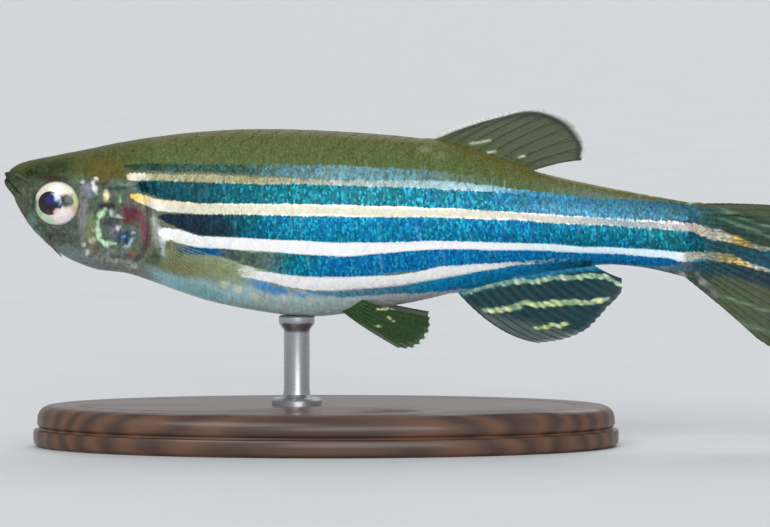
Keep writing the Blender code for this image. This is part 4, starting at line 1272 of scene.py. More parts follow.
# %% [markdown]
# ## Eyes
# The eye is a flattened ball set in the orbit, turned a little forwards to follow the snout. Each is one
# closed lens of rings, with the pupil as a dome of its own that stands a little proud, as a fish's round
# lens does. One function makes both from a line for the front and one for the back.

# %% Eye shapes
EYE_AROUND = 96
EYE_RINGS = 58
PUPIL_RADIUS = 0.68
PUPIL_SHIFT = (-0.28, 0.03)
EYE_FLATNESS = 2.6


def eye_place(a, b, c):
    """Places on the straight fish from places seen by the left eye."""
    a, b, c = np.broadcast_arrays(a, b, c)
    up = np.array((0.0, 0.0, 1.0))
    return EYE_CENTRE + a[..., None] * EYE_AHEAD + b[..., None] * up + c[..., None] * EYE_OUT


def eye_share(a, b):
    """How far a place is from the eye's middle, as a share of the way to its edge."""
    return np.hypot(a / EYE_LENGTHENING, b) / EYE_RADIUS


def eye_front(share):
    return EYE_HALF_DEPTH * np.clip(1 - share**EYE_FLATNESS, 0, 1) ** 0.5


def lens_mesh(front, back, radius, shift, side):
    """A closed lens: rings from the middle of the front over the edge to the middle of the back."""
    swing = np.linspace(0, pi, EYE_RINGS + 2)[1:-1]
    r = np.sin(swing) ** 0.8
    turn = np.linspace(0, 2 * pi, EYE_AROUND, endpoint=False)
    ring, around = np.meshgrid(r, turn, indexing="ij")
    a = shift[0] + radius * EYE_LENGTHENING * ring * np.cos(around)
    b = shift[1] + radius * ring * np.sin(around)
    from_middle = eye_share(a, b)
    depth = np.where(swing[:, None] < pi / 2, front(from_middle, ring), back(from_middle, ring))
    points = eye_place(a, b, depth)
    middle = eye_share(*shift)
    poles = eye_place(shift[0], shift[1], np.array((front(middle, 0.0), back(middle, 0.0))))
    points = np.concatenate([points.reshape(-1, 3), poles]) * (1, -side, 1)
    faces = closed_tube(EYE_RINGS, EYE_AROUND)
    if side > 0:
        faces = [face[::-1] for face in faces]
    seen = stack(a, b, ring).reshape(-1, 3)
    seen = np.concatenate([seen, [(*shift, 0.0), (*shift, 0.0)]])
    return mesh_of(set_in_place(points), faces), seen


def iris_front(share, r):
    return eye_front(share) + 0.02 * ridge(share - 0.9, 0.05)


def iris_back(share, r):
    return -0.4 * np.clip(1 - r**2, 0, 1) ** 0.5


def pupil_front(share, r):
    return eye_front(share) + 0.035 * (1 - r**4) + 0.01


def pupil_back(share, r):
    return 0.4 + 0 * share


print("eye across:", round(2 * EYE_RADIUS, 2), "mm, pupil across:", round(2 * PUPIL_RADIUS, 2), "mm")

# %% [markdown]
# ### The eye's colours
# The iris is lined with silver crystals under a clear, wet cornea, so it shines cream and white round a
# dark pupil that mirrors blue. The blue, white and pink spots on the pupil are painted reflections, and the
# white spots that run on over the iris above and below it are painted highlights. Its patches are written
# as on the head but seen by the eye. Fine fibres run through the iris, and a coat layer is the cornea's
# gloss.

# %% Eye finishes
IRIS_PATCHES = (
    (-0.2, 1.05, 1.15, 0.3, 0, rgb(255, 250, 222), 0.95),
    (-0.95, 0.78, 0.5, 0.34, 35, rgb(252, 236, 226), 0.9),
    # Painted highlight, running on from the pupil
    (0.2, 0.9, 0.34, 0.36, 0, WHITE, 0.95),
    (0.82, 0.78, 0.34, 0.3, -40, rgb(255, 250, 226), 0.95),
    (0.66, 0.2, 0.48, 0.4, -6, rgb(16, 30, 30), 0.96),
    (1.2, 0.2, 0.16, 0.6, 8, rgb(206, 222, 164), 0.85),
    (1.1, -0.35, 0.2, 0.26, 0, rgb(216, 176, 150), 0.8),
    # Painted highlight: the large pink-white spot below the pupil
    (0.46, -0.74, 0.66, 0.52, 8, rgb(255, 240, 242), 0.98),
    (-0.5, -0.95, 0.5, 0.26, -28, rgb(190, 226, 188), 0.9),
    (-1, -0.55, 0.26, 0.36, -40, rgb(150, 190, 150), 0.8),
    (-1.26, 0, 0.2, 0.5, 0, rgb(72, 104, 102), 0.9),
)
PUPIL_PATCHES = (
    # The navy, white, pale blue and pink spots are painted reflections on the lens
    (-0.14, 0.26, 0.42, 0.28, 0, rgb(34, 40, 120), 0.92),
    (0.2, 0.52, 0.26, 0.34, -10, rgb(226, 246, 255), 0.97),
    (0.34, 0.12, 0.12, 0.26, 0, rgb(96, 150, 190), 0.8),
    (-0.3, -0.5, 0.42, 0.16, -8, rgb(74, 42, 30), 0.8),
    (0.26, -0.5, 0.3, 0.26, 0, rgb(246, 216, 222), 0.92),
)


def patched(a, b, base, patches, seed):
    where = stack(a, b, 0)
    a = a + 0.05 * ripple(where, 0.5, seed)
    b = b + 0.05 * ripple(where, 0.5, seed + 1)
    colour = base
    for *place, paint, strength in patches:
        colour = blend_to(colour, paint, ellipse_cover(a, b, (*place, strength), (0.5, 1.3)))
    return colour


def eye_finish(name, fibres, roughness, metallic):
    paint = Finish(name)
    ground = paint.attribute("ground", "Color")
    seen = paint.attribute("seen")
    fibre = paint.noise(paint.stretch(seen, (5.0, 5.0, 1.5)), 1.6, 3.0)
    return paint.finish(
        Base_Color=paint.dim(ground, 1 - fibres * 0.5 + fibre * fibres),
        Roughness=roughness,
        Metallic=metallic,
        Specular_IOR_Level=0.3,
        Coat_Weight=0.5,
        Coat_Roughness=0.03,
        Normal=paint.bump(fibre, 0.00003, fibres),
    )


iris_finish = eye_finish("iris silver", 0.5, 0.34, 0.35)
pupil_finish = eye_finish("pupil", 0.2, 0.08, 0.0)
print("finishes:", iris_finish.name, "and", pupil_finish.name)

# %% [markdown]
# ### Setting the eyes
# Iris and pupil are painted as the left eye sees them, and mirrored for the right one. The iris gets
# painted shade towards its edge, where it goes under the skin.

# %% Eyes
# Shapes with radius and shift, then paint with ground, patches and seed, and how much painted shade darkens
# the edge
EYE_PARTS = {
    "iris": ((iris_front, iris_back, EYE_RADIUS, (0, 0)), (rgb(222, 216, 190), IRIS_PATCHES, 31), 0.6),
    "pupil": (
        (pupil_front, pupil_back, PUPIL_RADIUS, PUPIL_SHIFT), (rgb(10, 12, 20), PUPIL_PATCHES, 35), 0,
    ),
}
EYE_FINISHES = {"iris": iris_finish, "pupil": pupil_finish}

for label, side in SIDES:
    for name, (shapes, colours, shade) in EYE_PARTS.items():
        mesh, seen = lens_mesh(*shapes, side)
        paint = patched(seen[:, 0], seen[:, 1], *colours)
        # Painted shade: darker towards the iris's edge, under the skin
        paint = paint * (1 - shade * rise(seen[:, 2], 0.9, 1))[:, None]
        write_attributes(mesh, {"ground": paint, "seen": seen})
        replaced = (f"eye_{label}",) if name == "iris" else ()
        piece(f"{name}_{label}", mesh, EYE_FINISHES[name], replaced)

# %% [markdown]
# ## Growing repeated things
# Scales, fin rays and barbels repeat or follow a line, so Geometry Nodes make them. A tree runs on a
# small mesh that says where the copies go. Its result is taken as a plain mesh, and the first one thrown
# away.


# %% Pattern: a Geometry Nodes tree
class Pattern(Web):
    def __init__(self, name, inputs):
        super().__init__(bpy.data.node_groups.new(name, "GeometryNodeTree"))
        self.tree.interface.new_socket("Geometry", in_out="INPUT", socket_type="NodeSocketGeometry")
        self.tree.interface.new_socket("Geometry", in_out="OUTPUT", socket_type="NodeSocketGeometry")
        for label, kind in inputs.items():
            self.tree.interface.new_socket(label, in_out="INPUT", socket_type=kind)
        self.entry = self.tree.nodes.new("NodeGroupInput")
        self.exit = self.tree.nodes.new("NodeGroupOutput")

    def given(self, label):
        return Flow(self, self.entry.outputs[label])

    def named(self, label, kind):
        return self.add("GeometryNodeInputNamedAttribute", {"data_type": kind}, {"Name": label})

    def close(self, mesh):
        real = self.add("GeometryNodeRealizeInstances", None, {0: mesh})
        done = self.add("GeometryNodeSetMaterial", None, {0: real, "Material": self.given("Finish")})
        self.feed(self.exit, {0: done})

    def grow(self, start, values):
        source = bpy.data.objects.new("source", start)
        scene.collection.objects.link(source)
        modifier = source.modifiers.new("pattern", "NODES")
        modifier.node_group = self.tree
        for item in self.tree.interface.items_tree:
            if item.in_out == "INPUT" and item.name in values:
                modifier[item.identifier] = values[item.name]
        graph = bpy.context.evaluated_depsgraph_get()
        grown = bpy.data.meshes.new_from_object(source.evaluated_get(graph))
        bpy.data.objects.remove(source)
        return grown


def read_attribute(mesh, name="position"):
    layer = mesh.attributes[name]
    single = layer.data_type == "FLOAT"
    values = np.empty(len(layer.data) * (1 if single else 3), np.float32)
    layer.data.foreach_get("value" if single else "vector", values)
    return values if single else values.reshape(-1, 3).astype(float)

# %% [markdown]
# ## Scales
# The scales lie in rows like roof tiles, each half a scale behind the rows beside it, with its rounded
# edge towards the tail. They are laid on a flat chart, where x runs along the fish and y round its side
# from the line where it is widest. Then the chart is wrapped round the body.

# %% The tree that lays scales
scale_pattern = Pattern(
    "scale rows",
    {"Plate": "NodeSocketObject", "Variation": "NodeSocketFloat", "Finish": "NodeSocketMaterial"},
)
plate = scale_pattern.add(
    "GeometryNodeObjectInfo", None, {"Object": scale_pattern.given("Plate")}, output="Geometry"
)
variation = scale_pattern.given("Variation")
jitter = scale_pattern.add(
    "FunctionNodeRandomValue",
    {"data_type": "FLOAT"},
    {"Min": 1 - variation, "Max": 1 + variation, "Seed": 7},
    output="Value",
)
laid = scale_pattern.add(
    "GeometryNodeInstanceOnPoints",
    None,
    {
        "Points": scale_pattern.given("Geometry"),
        "Instance": plate,
        "Rotation": scale_pattern.named("turn", "FLOAT_VECTOR"),
        "Scale": scale_pattern.named("pitch", "FLOAT") * jitter,
    },
)
scale_pattern.close(laid)
print("nodes that lay scales:", len(scale_pattern.tree.nodes))

# %% [markdown]
# ### One scale
# A scale is a thin round plate. It dips under the skin at its root and stands a few hundredths of a
# millimetre over it at its free edge. It is laid hundreds of times, so it has few faces, and its hidden
# side is a single one.

# %% One plate, for a row pitch of 1
PLATE_LENGTH = 1.66
PLATE_HEIGHT = 1.22
PLATE_GRID = 6
PLATE_ROOT = 0.72
PLATE_SUNK = -0.05
PLATE_PROUD = 0.032
PLATE_ARCH = 0.012
PLATE_THICKNESS = 0.018


def plate_object():
    """A thin round plate, its root at the origin and its free edge towards +x."""
    share = np.linspace(-1, 1, PLATE_GRID + 1)
    a, b = np.meshgrid(share, share, indexing="ij")
    x = a * np.sqrt(1 - b**2 / 2)
    y = b * np.sqrt(1 - a**2 / 2)
    along = (x + 1) / 2
    top = PLATE_SUNK + (PLATE_PROUD - PLATE_SUNK) * along**1.1 + PLATE_ARCH * (1 - y**2)
    places = [(x + PLATE_ROOT) * PLATE_LENGTH / 2, y * PLATE_HEIGHT / 2, top]
    upper = np.stack(places, axis=-1).reshape(-1, 3)
    quads, rim = grid_faces(*x.shape)
    lower = upper[rim] - (0.0, 0.0, PLATE_THICKNESS)
    under = [len(upper) + k for k in range(len(rim))]
    sides = [(b, a, c, d) for a, b, c, d in zip(rim, rim[1:] + rim[:1], under, under[1:] + under[:1])]
    mesh = mesh_of(np.concatenate([upper, lower]), [*quads.tolist(), *sides, under[::-1]])
    at_edge = rise(np.hypot(x, y), 0.72, 1).ravel()
    write_attributes(mesh, {"rim": np.concatenate([at_edge, at_edge[rim]])})
    return bpy.data.objects.new("plate", mesh)


scale_plate = plate_object()
print("one scale:", len(scale_plate.data.polygons), "faces")

# %% [markdown]
# ### The chart of one side
# Wrapping needs the angle round the body at a given distance round the flank. It is measured once on
# rings of the body, as a table. The rows' pitch narrows towards the tail, and they start behind the gill
# slit.

# %% Where the scales go
ROW_PITCH = ((8, 1.06), (18, 1.12), (30, 0.98), (39, 0.80))
ROW_SPACING = 0.62  # how far apart the rows are, as a share of the pitch along them
ROWS = range(-9, 10)
SCALES_END = 38.9
GAP_AT_GILL = 0.45
GAP_AT_RIDGE = 0.12
TABLE_STEPS = 181

table_x = np.linspace(SCALES_START - 1.5, STANDARD_LENGTH + 1.5, 150)
table_angle = np.linspace(0, pi, TABLE_STEPS)
table_ring = flank(table_x[:, None], table_angle[None, :])
table_arc = np.cumsum(np.linalg.norm(np.diff(table_ring, axis=1), axis=-1), axis=1)
table_arc = np.concatenate([np.zeros((len(table_x), 1)), table_arc], axis=1)
table_arc -= table_arc[:, TABLE_STEPS // 2 : TABLE_STEPS // 2 + 1]
arc_steps = np.linspace(-9, 9, 361)
angle_of_arc = np.stack([np.interp(arc_steps, arc, table_angle) for arc in table_arc])


def wrap_angle(x, arc):
    """The angle round the body at a distance round the flank from its widest line."""
    i = np.interp(x, table_x, np.arange(len(table_x)))
    j = np.interp(arc, arc_steps, np.arange(len(arc_steps)))
    i0, j0 = np.minimum(i.astype(int), len(table_x) - 2), np.minimum(j.astype(int), len(arc_steps) - 2)
    u, v = i - i0, j - j0
    near = angle_of_arc[i0, j0] * (1 - v) + angle_of_arc[i0, j0 + 1] * v
    far = angle_of_arc[i0 + 1, j0] * (1 - v) + angle_of_arc[i0 + 1, j0 + 1] * v
    return near * (1 - u) + far * u


def chart_limits(x):
    """The chart's edges at a distance from the snout: the lines of the back and of the belly."""
    return [np.interp(x, table_x, table_arc[:, k]) for k in (0, -1)]


def pitch_at(x):
    return float(np.interp(x, *zip(*ROW_PITCH)))


def scale_places():
    places, turns, pitches = [], [], []
    for row in ROWS:
        x = SCALES_START - 0.2 + 0.5 * pitch_at(SCALES_START) * (row % 2)
        while x < SCALES_END:
            pitch = pitch_at(x)
            arc = row * pitch * ROW_SPACING
            back, belly = chart_limits(x)
            slope = row * ROW_SPACING * (pitch_at(x + 0.5) - pitch_at(x - 0.5))
            root = flank(x, wrap_angle(np.array(x), np.array(arc)))
            behind_gill = x > slit_edge(root[2]) + GAP_AT_GILL
            if back + GAP_AT_RIDGE < arc < belly - GAP_AT_RIDGE and behind_gill:
                places.append((x, arc, 0.0))
                turns.append((0.0, 0.0, atan(slope)))
                pitches.append(pitch)
            x += pitch
    return places, turns, pitches


places, turns, pitches = scale_places()
print("scales on each side:", len(places))

# %% [markdown]
# ### Laying and wrapping
# Each point's place on the chart gives its angle, and its height over the chart lifts it off the skin.
# Then every point gets the markings of its place, and each scale a small patch of the unwrap, at its
# root.

# %% Scales
SIZE_VARIATION = 0.05
SCALE_PATCH = 0.0015  # how far a scale spreads on the unwrap for each millimetre from its root

for label, side in SIDES:
    roots = mesh_of(places, [])
    write_attributes(roots, {"turn": turns, "pitch": pitches, "root": places})
    values = {"Plate": scale_plate, "Variation": SIZE_VARIATION, "Finish": scale_finish}
    mesh = scale_pattern.grow(roots, values)
    x, arc, lift = read_attribute(mesh).T
    angle = wrap_angle(x, arc)
    back, belly = chart_limits(x)
    straight = on_skin(x, angle, lift * scale_share(np.minimum(arc - back, belly - arc)))
    marks = markings(straight)
    straight = straight * (1, -side, 1)
    if side > 0:
        mesh.flip_normals()
    lie = stack(x, arc - back, straight[:, 1])
    write_attributes(mesh, {**marks, "lie": lie, "position": set_in_place(straight)})
    root_x, root_arc, _ = read_attribute(mesh, "root").T
    patch = stack(x - root_x, arc - root_arc) * SCALE_PATCH
    write_chart(mesh, chart_place(root_x, side * (root_arc - chart_limits(root_x)[0])) + patch)
    piece(f"scales_{label}", mesh, scale_finish, sharp=35)
bpy.data.objects.remove(scale_plate)

# %% [markdown]
# ## How fins are built
# A fin is a very thin skin stretched over bony rays, which split in two half way out and again near the
# edge, and are jointed like bamboo. Each fin is a function that gives the place at a share of the way
# from the first ray to the last, and at a share of a ray's length. Membrane and rays are made from it.

# %% Fins on the middle line
ROOT_DEPTH = 0.1  # how deep the rays start in the flesh
DORSAL_TIPS = (
    (28.9, 6.28), (29.9, 6.55), (30.9, 6.57), (31.9, 6.31), (32.85, 5.76), (33.45, 4.95), (33.64, 4.22),
    (33.38, 3.6),
)
DORSAL_BOW = (0.14, 0.12)
ANAL_TIPS = (
    (31, -7), (32.4, -6.78), (33.9, -6.05), (35, -4.85), (35.8, -3.75), (35.75, -3.25),
)
ANAL_BOW = (0.62, 0.08)


def median_ray(line, line_side, roots, tips, bow):
    """Rays of a fin in the fish's middle plane, from its back (line_side 1) or belly (-1)."""
    tip_line = through(tips)

    def at(share, t):
        share, t = np.broadcast_arrays(share, t)
        x = roots[0] + (roots[1] - roots[0]) * share
        z = line(x) - line_side * ROOT_DEPTH
        tip = tip_line(share)
        lift = line_side * (bow[0] + (bow[1] - bow[0]) * share) * 4 * t * (1 - t)
        return stack(x + (tip[..., 0] - x) * t, 0, z + (tip[..., 1] - z) * t + lift)

    return at


dorsal_ray = median_ray(back_line, 1, DORSAL_ROOTS, DORSAL_TIPS, DORSAL_BOW)
anal_ray = median_ray(belly_line, -1, ANAL_ROOTS, ANAL_TIPS, ANAL_BOW)
print("dorsal fin:", (dorsal_ray(0, 1)[2] - back_line(DORSAL_ROOTS[0])).round(2), "mm high in front")

# %% [markdown]
# ### Tail fin
# Its rays fan out from the end of the tail stalk into two lobes with a shallow fork. The photograph cuts
# them off, so their ends have the shape that is usual for the fish.

# %% Tail fin
STALK_BOW = 0.45
CAUDAL_ANGLES = (3.0, -43.0)
CAUDAL_LOBE = 10.6
CAUDAL_FORK = 7.7
CAUDAL_EDGE_CUT = 0.42
EDGE_SINK = 0.2  # how much deeper the outermost rays of the tail fin start
FOOT_BOW = 0.18


def caudal_ray(share, t):
    share, t = np.broadcast_arrays(share, t)
    spread = 1 - 2 * share
    angle = np.arccos(np.clip(spread * 0.97, -1, 1))
    root = flank(STANDARD_LENGTH - STALK_BOW + STALK_BOW * np.sin(angle) ** 2, angle) * (1, 0, 1)
    root = root - stack(ROOT_DEPTH, 0, EDGE_SINK * spread)
    top, foot = CAUDAL_ANGLES
    middle = (top + foot) / 2
    heading = np.radians(middle + spread * (top - middle))
    edge = np.clip((np.abs(spread) - 0.8) / 0.2, 0, None)
    reach = CAUDAL_FORK + (CAUDAL_LOBE - CAUDAL_FORK) * np.abs(spread) ** 1.4
    reach = reach * (1 - CAUDAL_EDGE_CUT * edge**1.5)
    along = stack(np.cos(heading), 0, np.sin(heading)) * (reach * t)[..., None]
    curl = -spread * 0.35 * t * t + FOOT_BOW * np.clip(-spread, 0, 1) ** 2 * 4 * t * (1 - t)
    return root + along + stack(0, 0, curl)


print("tail fin's upper tip:", caudal_ray(0, 1).round(1))

# %% [markdown]
# ### Paired fins
# The pectoral fins sit behind the gill slits and the pelvic fins under the belly. Their rays lift off
# the skin and sweep back in a bow to tips that stand out from the side.

# %% Pectoral and pelvic fins
PECTORAL_TIPS = ((13.9, -2.1), (14.3, -2.75), (13.6, -3.5), (12.5, -3.9), (11.3, -3.75))
PELVIC_TIPS = ((22.8, -7.15), (23.7, -7.1), (24.3, -6.6), (24.6, -5.95), (24.6, -5.35))


def paired_ray(root_of, tips, spread, lift):
    tip_line = through(tips)

    def at(share, t):
        share, t = np.broadcast_arrays(share, t)
        x, angle = root_of(share)
        surface, out = flank(x, angle), flank_normal(x, angle)
        root = surface - out * ROOT_DEPTH
        tip = tip_line(share)
        tip = stack(tip[..., 0], surface[..., 1] - spread, tip[..., 1])
        knee = root + out * lift + (tip - root) * 0.3
        t = t[..., None]
        return (1 - t) ** 2 * root + 2 * t * (1 - t) * knee + t**2 * tip

    return at


def pectoral_root(share):
    height = PECTORAL_ROOTS[0] + (PECTORAL_ROOTS[1] - PECTORAL_ROOTS[0]) * share
    x = np.full(share.shape, PECTORAL_ROOT_X)
    return x, angle_at(x, height)


def pelvic_root(share):
    first, last = PELVIC_ROOT_ANGLES
    x = PELVIC_ROOTS[0] + (PELVIC_ROOTS[1] - PELVIC_ROOTS[0]) * share
    return x, np.radians(first + (last - first) * share)


pectoral_ray = paired_ray(pectoral_root, PECTORAL_TIPS, 1.9, 0.9)
pelvic_ray = paired_ray(pelvic_root, PELVIC_TIPS, 1.2, 0.25)
print("pectoral fin's upper tip:", pectoral_ray(0, 1).round(1))

# %% [markdown]
# ### Membrane
# The skin between the rays is a closed sheet of its real thinness. It is drawn in a little between the
# tips of the rays, each time by another amount, and a soft wave runs through it.

# %% The membrane
MEMBRANE_HALF = (0.05, 0.014)
BETWEEN_RAYS = 6
MEMBRANE_ROWS = 44
WAVE_SIZE = 0.12


def closed_sheet(middle, half):
    """A thin closed sheet round a grid of points, with half its thickness at each."""
    normal = np.cross(np.gradient(middle, axis=1), np.gradient(middle, axis=0))
    normal /= np.linalg.norm(normal, axis=-1, keepdims=True)
    layers = (middle + normal * half[..., None], middle - normal * half[..., None])
    quads, rim = grid_faces(*middle.shape[:2])
    size = half.size
    edge = [(b, a, a + size, b + size) for a, b in zip(rim, rim[1:] + rim[:1])]
    faces = [*quads.tolist(), *(quads[:, ::-1] + size).tolist(), *edge]
    return np.concatenate([layer.reshape(-1, 3) for layer in layers]), faces


def sway(points, t):
    wave = WAVE_SIZE * ripple(points * (1, 0, 1), 5, 41) * np.clip(t, 0, 1) ** 1.5
    return points + stack(0, wave, 0)


def membrane(ray_at, rays, notch, seed):
    columns = np.linspace(0, rays - 1, (rays - 1) * BETWEEN_RAYS + 1)
    random = np.random.default_rng(seed)
    depth = random.uniform(0.5, 1.3, rays)[np.minimum(columns.astype(int), rays - 2)] * notch
    reach = 1 - depth * np.sin(pi * (columns % 1)) ** 0.7
    t = np.linspace(0, 1, MEMBRANE_ROWS) * reach[:, None]
    share = np.broadcast_to(columns[:, None] / (rays - 1), t.shape)
    middle = sway(ray_at(share, t), t)
    half = np.interp(t, (0, 1), MEMBRANE_HALF)
    half = half * (1 - 0.35 * np.sin(pi * (columns % 1)) ** 2)[:, None]
    points, faces = closed_sheet(middle, half)
    where = stack(share * (rays - 1), t, 0).reshape(-1, 3)
    return points, faces, np.concatenate([where, where])

# %% [markdown]
# ### Rods
# A ray is a rod whose thickness changes along it. The tree turns lines of edges to curves, gives each
# place its own thickness from an attribute, and sweeps a small ring along.

# %% The tree that turns lines to rods
rod_pattern = Pattern("rods", {"Sides": "NodeSocketInt", "Finish": "NodeSocketMaterial"})
rod_line = rod_pattern.add("GeometryNodeMeshToCurve", None, {0: rod_pattern.given("Geometry")})
rod_line = rod_pattern.add(
    "GeometryNodeSetCurveRadius", None, {0: rod_line, "Radius": rod_pattern.named("thick", "FLOAT")}
)
rod_profile = rod_pattern.add(
    "GeometryNodeCurvePrimitiveCircle", None, {"Resolution": rod_pattern.given("Sides"), "Radius": 1.0}
)
rods = rod_pattern.add(
    "GeometryNodeCurveToMesh",
    None,
    {
        "Curve": rod_line,
        "Profile Curve": rod_profile,
        "Scale": rod_pattern.named("thick", "FLOAT"),
        "Fill Caps": True,
    },
)
rod_pattern.close(rods)
print("nodes that make rods:", len(rod_pattern.tree.nodes))

# %% [markdown]
# ### Lines of the rays
# A ray leaves the body as one line. At its first fork it splits in two, and each of these splits once
# more near the edge. The foremost rays of a fin stay single. Small swellings along a ray are its joints.

# %% Lines of the rays
RAY_RADIUS = (0.085, 0.024)
RAY_JOINTS = 15
JOINT_SWELL = 0.16
FIRST_FORK = 0.48
SECOND_FORK = 0.78
FIRST_SPREAD = 0.16
SECOND_SPREAD = 0.07
BRANCH_SIZE = 0.8


def ray_lines(rays, unbranched):
    """The lines of a fin's rays: the ray's number, how far both forks spread it, its start and end."""
    lines = [(i, 0.0, 0.0, 0.0, 1.0) for i in range(unbranched)]
    for i in range(unbranched, rays):
        lines.append((i, 0.0, 0.0, 0.0, FIRST_FORK + 0.02))
        for first in (-FIRST_SPREAD, FIRST_SPREAD):
            lines.append((i, first, 0.0, FIRST_FORK, SECOND_FORK + 0.01))
            lines += [(i, first, second, SECOND_FORK, 1.0) for second in (-SECOND_SPREAD, SECOND_SPREAD)]
    return lines


def ray_mesh(ray_at, rays, unbranched, size):
    points, edges, thick, where = [], [], [], []
    for i, first, second, start, end in ray_lines(rays, unbranched):
        steps = max(6, int((end - start) * 64))
        t = np.linspace(start, end, steps)
        aside = first * rise(t, FIRST_FORK, 1) + second * rise(t, SECOND_FORK, 1)
        share = np.clip((i + aside) / (rays - 1), 0, 1)
        radius = np.interp(t, (0, 1), RAY_RADIUS) * size
        radius = radius * (1 + JOINT_SWELL * np.cos(2 * pi * RAY_JOINTS * t))
        radius = radius * BRANCH_SIZE ** ((first != 0) + (second != 0))
        edges += step_edges(steps, len(points))
        points += list(sway(ray_at(share, t), t))
        thick += list(radius)
        where += [(i, s, 1.0) for s in t]
    lines = mesh_of(points, [], edges)
    write_attributes(lines, {"thick": thick, "where": where})
    return lines


print("lines of a branched ray:", len(ray_lines(1, 0)))

# %% [markdown]
# ## Colours of the fins
# The fins are clear with a tint of olive. Each recipe gives a colour for every place on a fin and how
# solid it is there. The dorsal fin has a pale rim with a dark line under it, which follows its outline,
# and a few short pale streaks that are painted highlights along its rays.

# %% Colours of the dorsal fin
CLEAR_OLIVE = rgb(62, 76, 42)
RIM_GREY = rgb(158, 168, 160)
# Painted highlights: short pale streaks along rays that catch the light
DORSAL_RAY_HIGHLIGHTS = (((27.0, 4.55), (28.1, 4.75)), ((28.0, 4.05), (28.4, 4.1)), ((29.8, 3.78), (30.1, 3.85)))


def outline_distance(points, ray_at, last_share):
    """How far a place is from the outline of a fin: along its first ray, then round its tips."""
    outline = [ray_at(0.0, s)[[0, 2]] for s in (0.0, 0.35, 0.7)]
    outline += [ray_at(s, 1.0)[[0, 2]] for s in np.linspace(0, last_share, 14)]
    return line_distance(*side_view(points), outline)


def dorsal_paint(points, where):
    x, z, t = points[..., 0], points[..., 2], where[..., 1]
    colour = blend_to(CLEAR_OLIVE, OLIVE, 0.6 * rise(0.3 - t, 0, 0.3))
    solid = 0.74 + 0.22 * rise(0.25 - t, 0, 0.25)
    far, along = outline_distance(points, dorsal_ray, 0.96)
    width = np.interp(along, (0, 0.2, 0.55, 0.8, 1), (0.09, 0.15, 0.22, 0.32, 0.2))
    dark = ridge(far - width - 0.12, 0.14) * np.interp(along, (0, 0.3, 0.6, 1), (0.35, 0.6, 1, 1))
    pale = 1 - rise(far, width * 0.6, width * 1.3)
    colour = blend_to(colour, rgb(38, 44, 60), dark * 0.75)
    colour = blend_to(colour, RIM_GREY * 0.95, pale * 0.95)
    colour = blend_to(colour, WHITE, pale * 0.6 * ridge(far - 0.05, 0.07))
    solid = solid + (1.04 - solid) * np.maximum(dark * 0.6, pale)
    # Painted highlights along the rays
    for streak in DORSAL_RAY_HIGHLIGHTS:
        far, _ = line_distance(x, z, streak)
        colour = blend_to(colour, rgb(214, 220, 196), 0.8 * ridge(far, 0.07))
        solid = solid + (0.9 - solid) * ridge(far, 0.07)
    return colour, solid, 0 * t

# %% [markdown]
# ### Anal fin
# It is dark blue with broken yellow stripes, brightest where they cross a ray.

# %% Colours of the anal fin
FIN_NAVY = rgb(0, 56, 62)
BEAD_YELLOW = rgb(232, 238, 160)
BEAD_GREEN = rgb(208, 232, 190)
ANAL_STRIPES = (
    ((26.6, -4.12), (27.1, -3.95), (28.1, -3.62), (28.9, -3.5), (29.8, -3.41), (30.8, -3.45),
     (31.5, -3.22), (33, -3.22), (34, -3.09), (34.7, -3.14), (35.2, -3.34), (35.8, -3.66)),
    ((27.8, -5.14), (28.7, -5.09), (29.5, -4.97), (30.1, -4.64), (30.8, -4.8), (32.1, -4.66),
     (33.9, -4.66), (34.95, -4.42)),
    ((30.7, -6.2), (31.3, -6.07), (32.6, -5.9)),
)
ANAL_WIDTHS = (1.1, 1.3, 0.95)


def anal_paint(points, where):
    x, z, ray, t = points[..., 0], points[..., 2], where[..., 0], where[..., 1]
    body = rise(0.42 - belly_line(x) + z, 0, 0.34)
    colour = blend_to(FIN_NAVY, rgb(20, 142, 190), body)
    outer = rise(-z - 0.22 * (x - 27), 4.6, 5.4) * rise(34.6 - x, 0, 1.5)
    colour = blend_to(colour, rgb(52, 76, 64), outer * 0.8)
    solid = 0.96 - 0.28 * outer - 0.3 * rise(t, 0.86, 1)
    for number, stripe in enumerate(ANAL_STRIPES):
        wander = 0.045 * ripple(points, 0.7, 50 + number)
        far, share = line_distance(x, z + wander, stripe)
        width = np.interp(share, (0, 0.15, 0.9, 1), (0.09, 0.12, 0.11, 0.08)) * ANAL_WIDTHS[number]
        beads = 0.5 + 0.5 * np.cos(2 * pi * ray + 2.2 * ripple(points, 1.3, 60))
        beads = 0.25 + 0.75 * beads * rise(ripple(points, 0.8, 66), -1, 0.3)
        width = width * (0.65 + 0.55 * beads)
        cover = 1 - rise(far, width * 0.75, width * 1.45)
        bright = BEAD_GREEN if number == 0 else BEAD_YELLOW
        tone = blend_to(rgb(84, 150, 124), bright, beads)
        tone = blend_to(tone, WHITE, 0.6 * rise(ripple(points, 0.6, 63), 0.1, 0.8) * beads)
        colour = blend_to(colour, tone, cover * (0.7 + 0.3 * beads))
        solid = solid + (1 - solid) * cover
    return colour, solid, body * 0.4

# %% [markdown]
# ### Tail fin's colours
# The stripes of the body run on over the middle of the tail fin and break up into gold and blue specks.
# Above and below them it is clear, with a few faint streaks: their height and strength are given here.

# %% Colours of the tail fin
CAUDAL_STREAKS = ((0.75, 0.5), (0.2, 0.35), (-4.2, 0.35), (-5.4, 0.25))


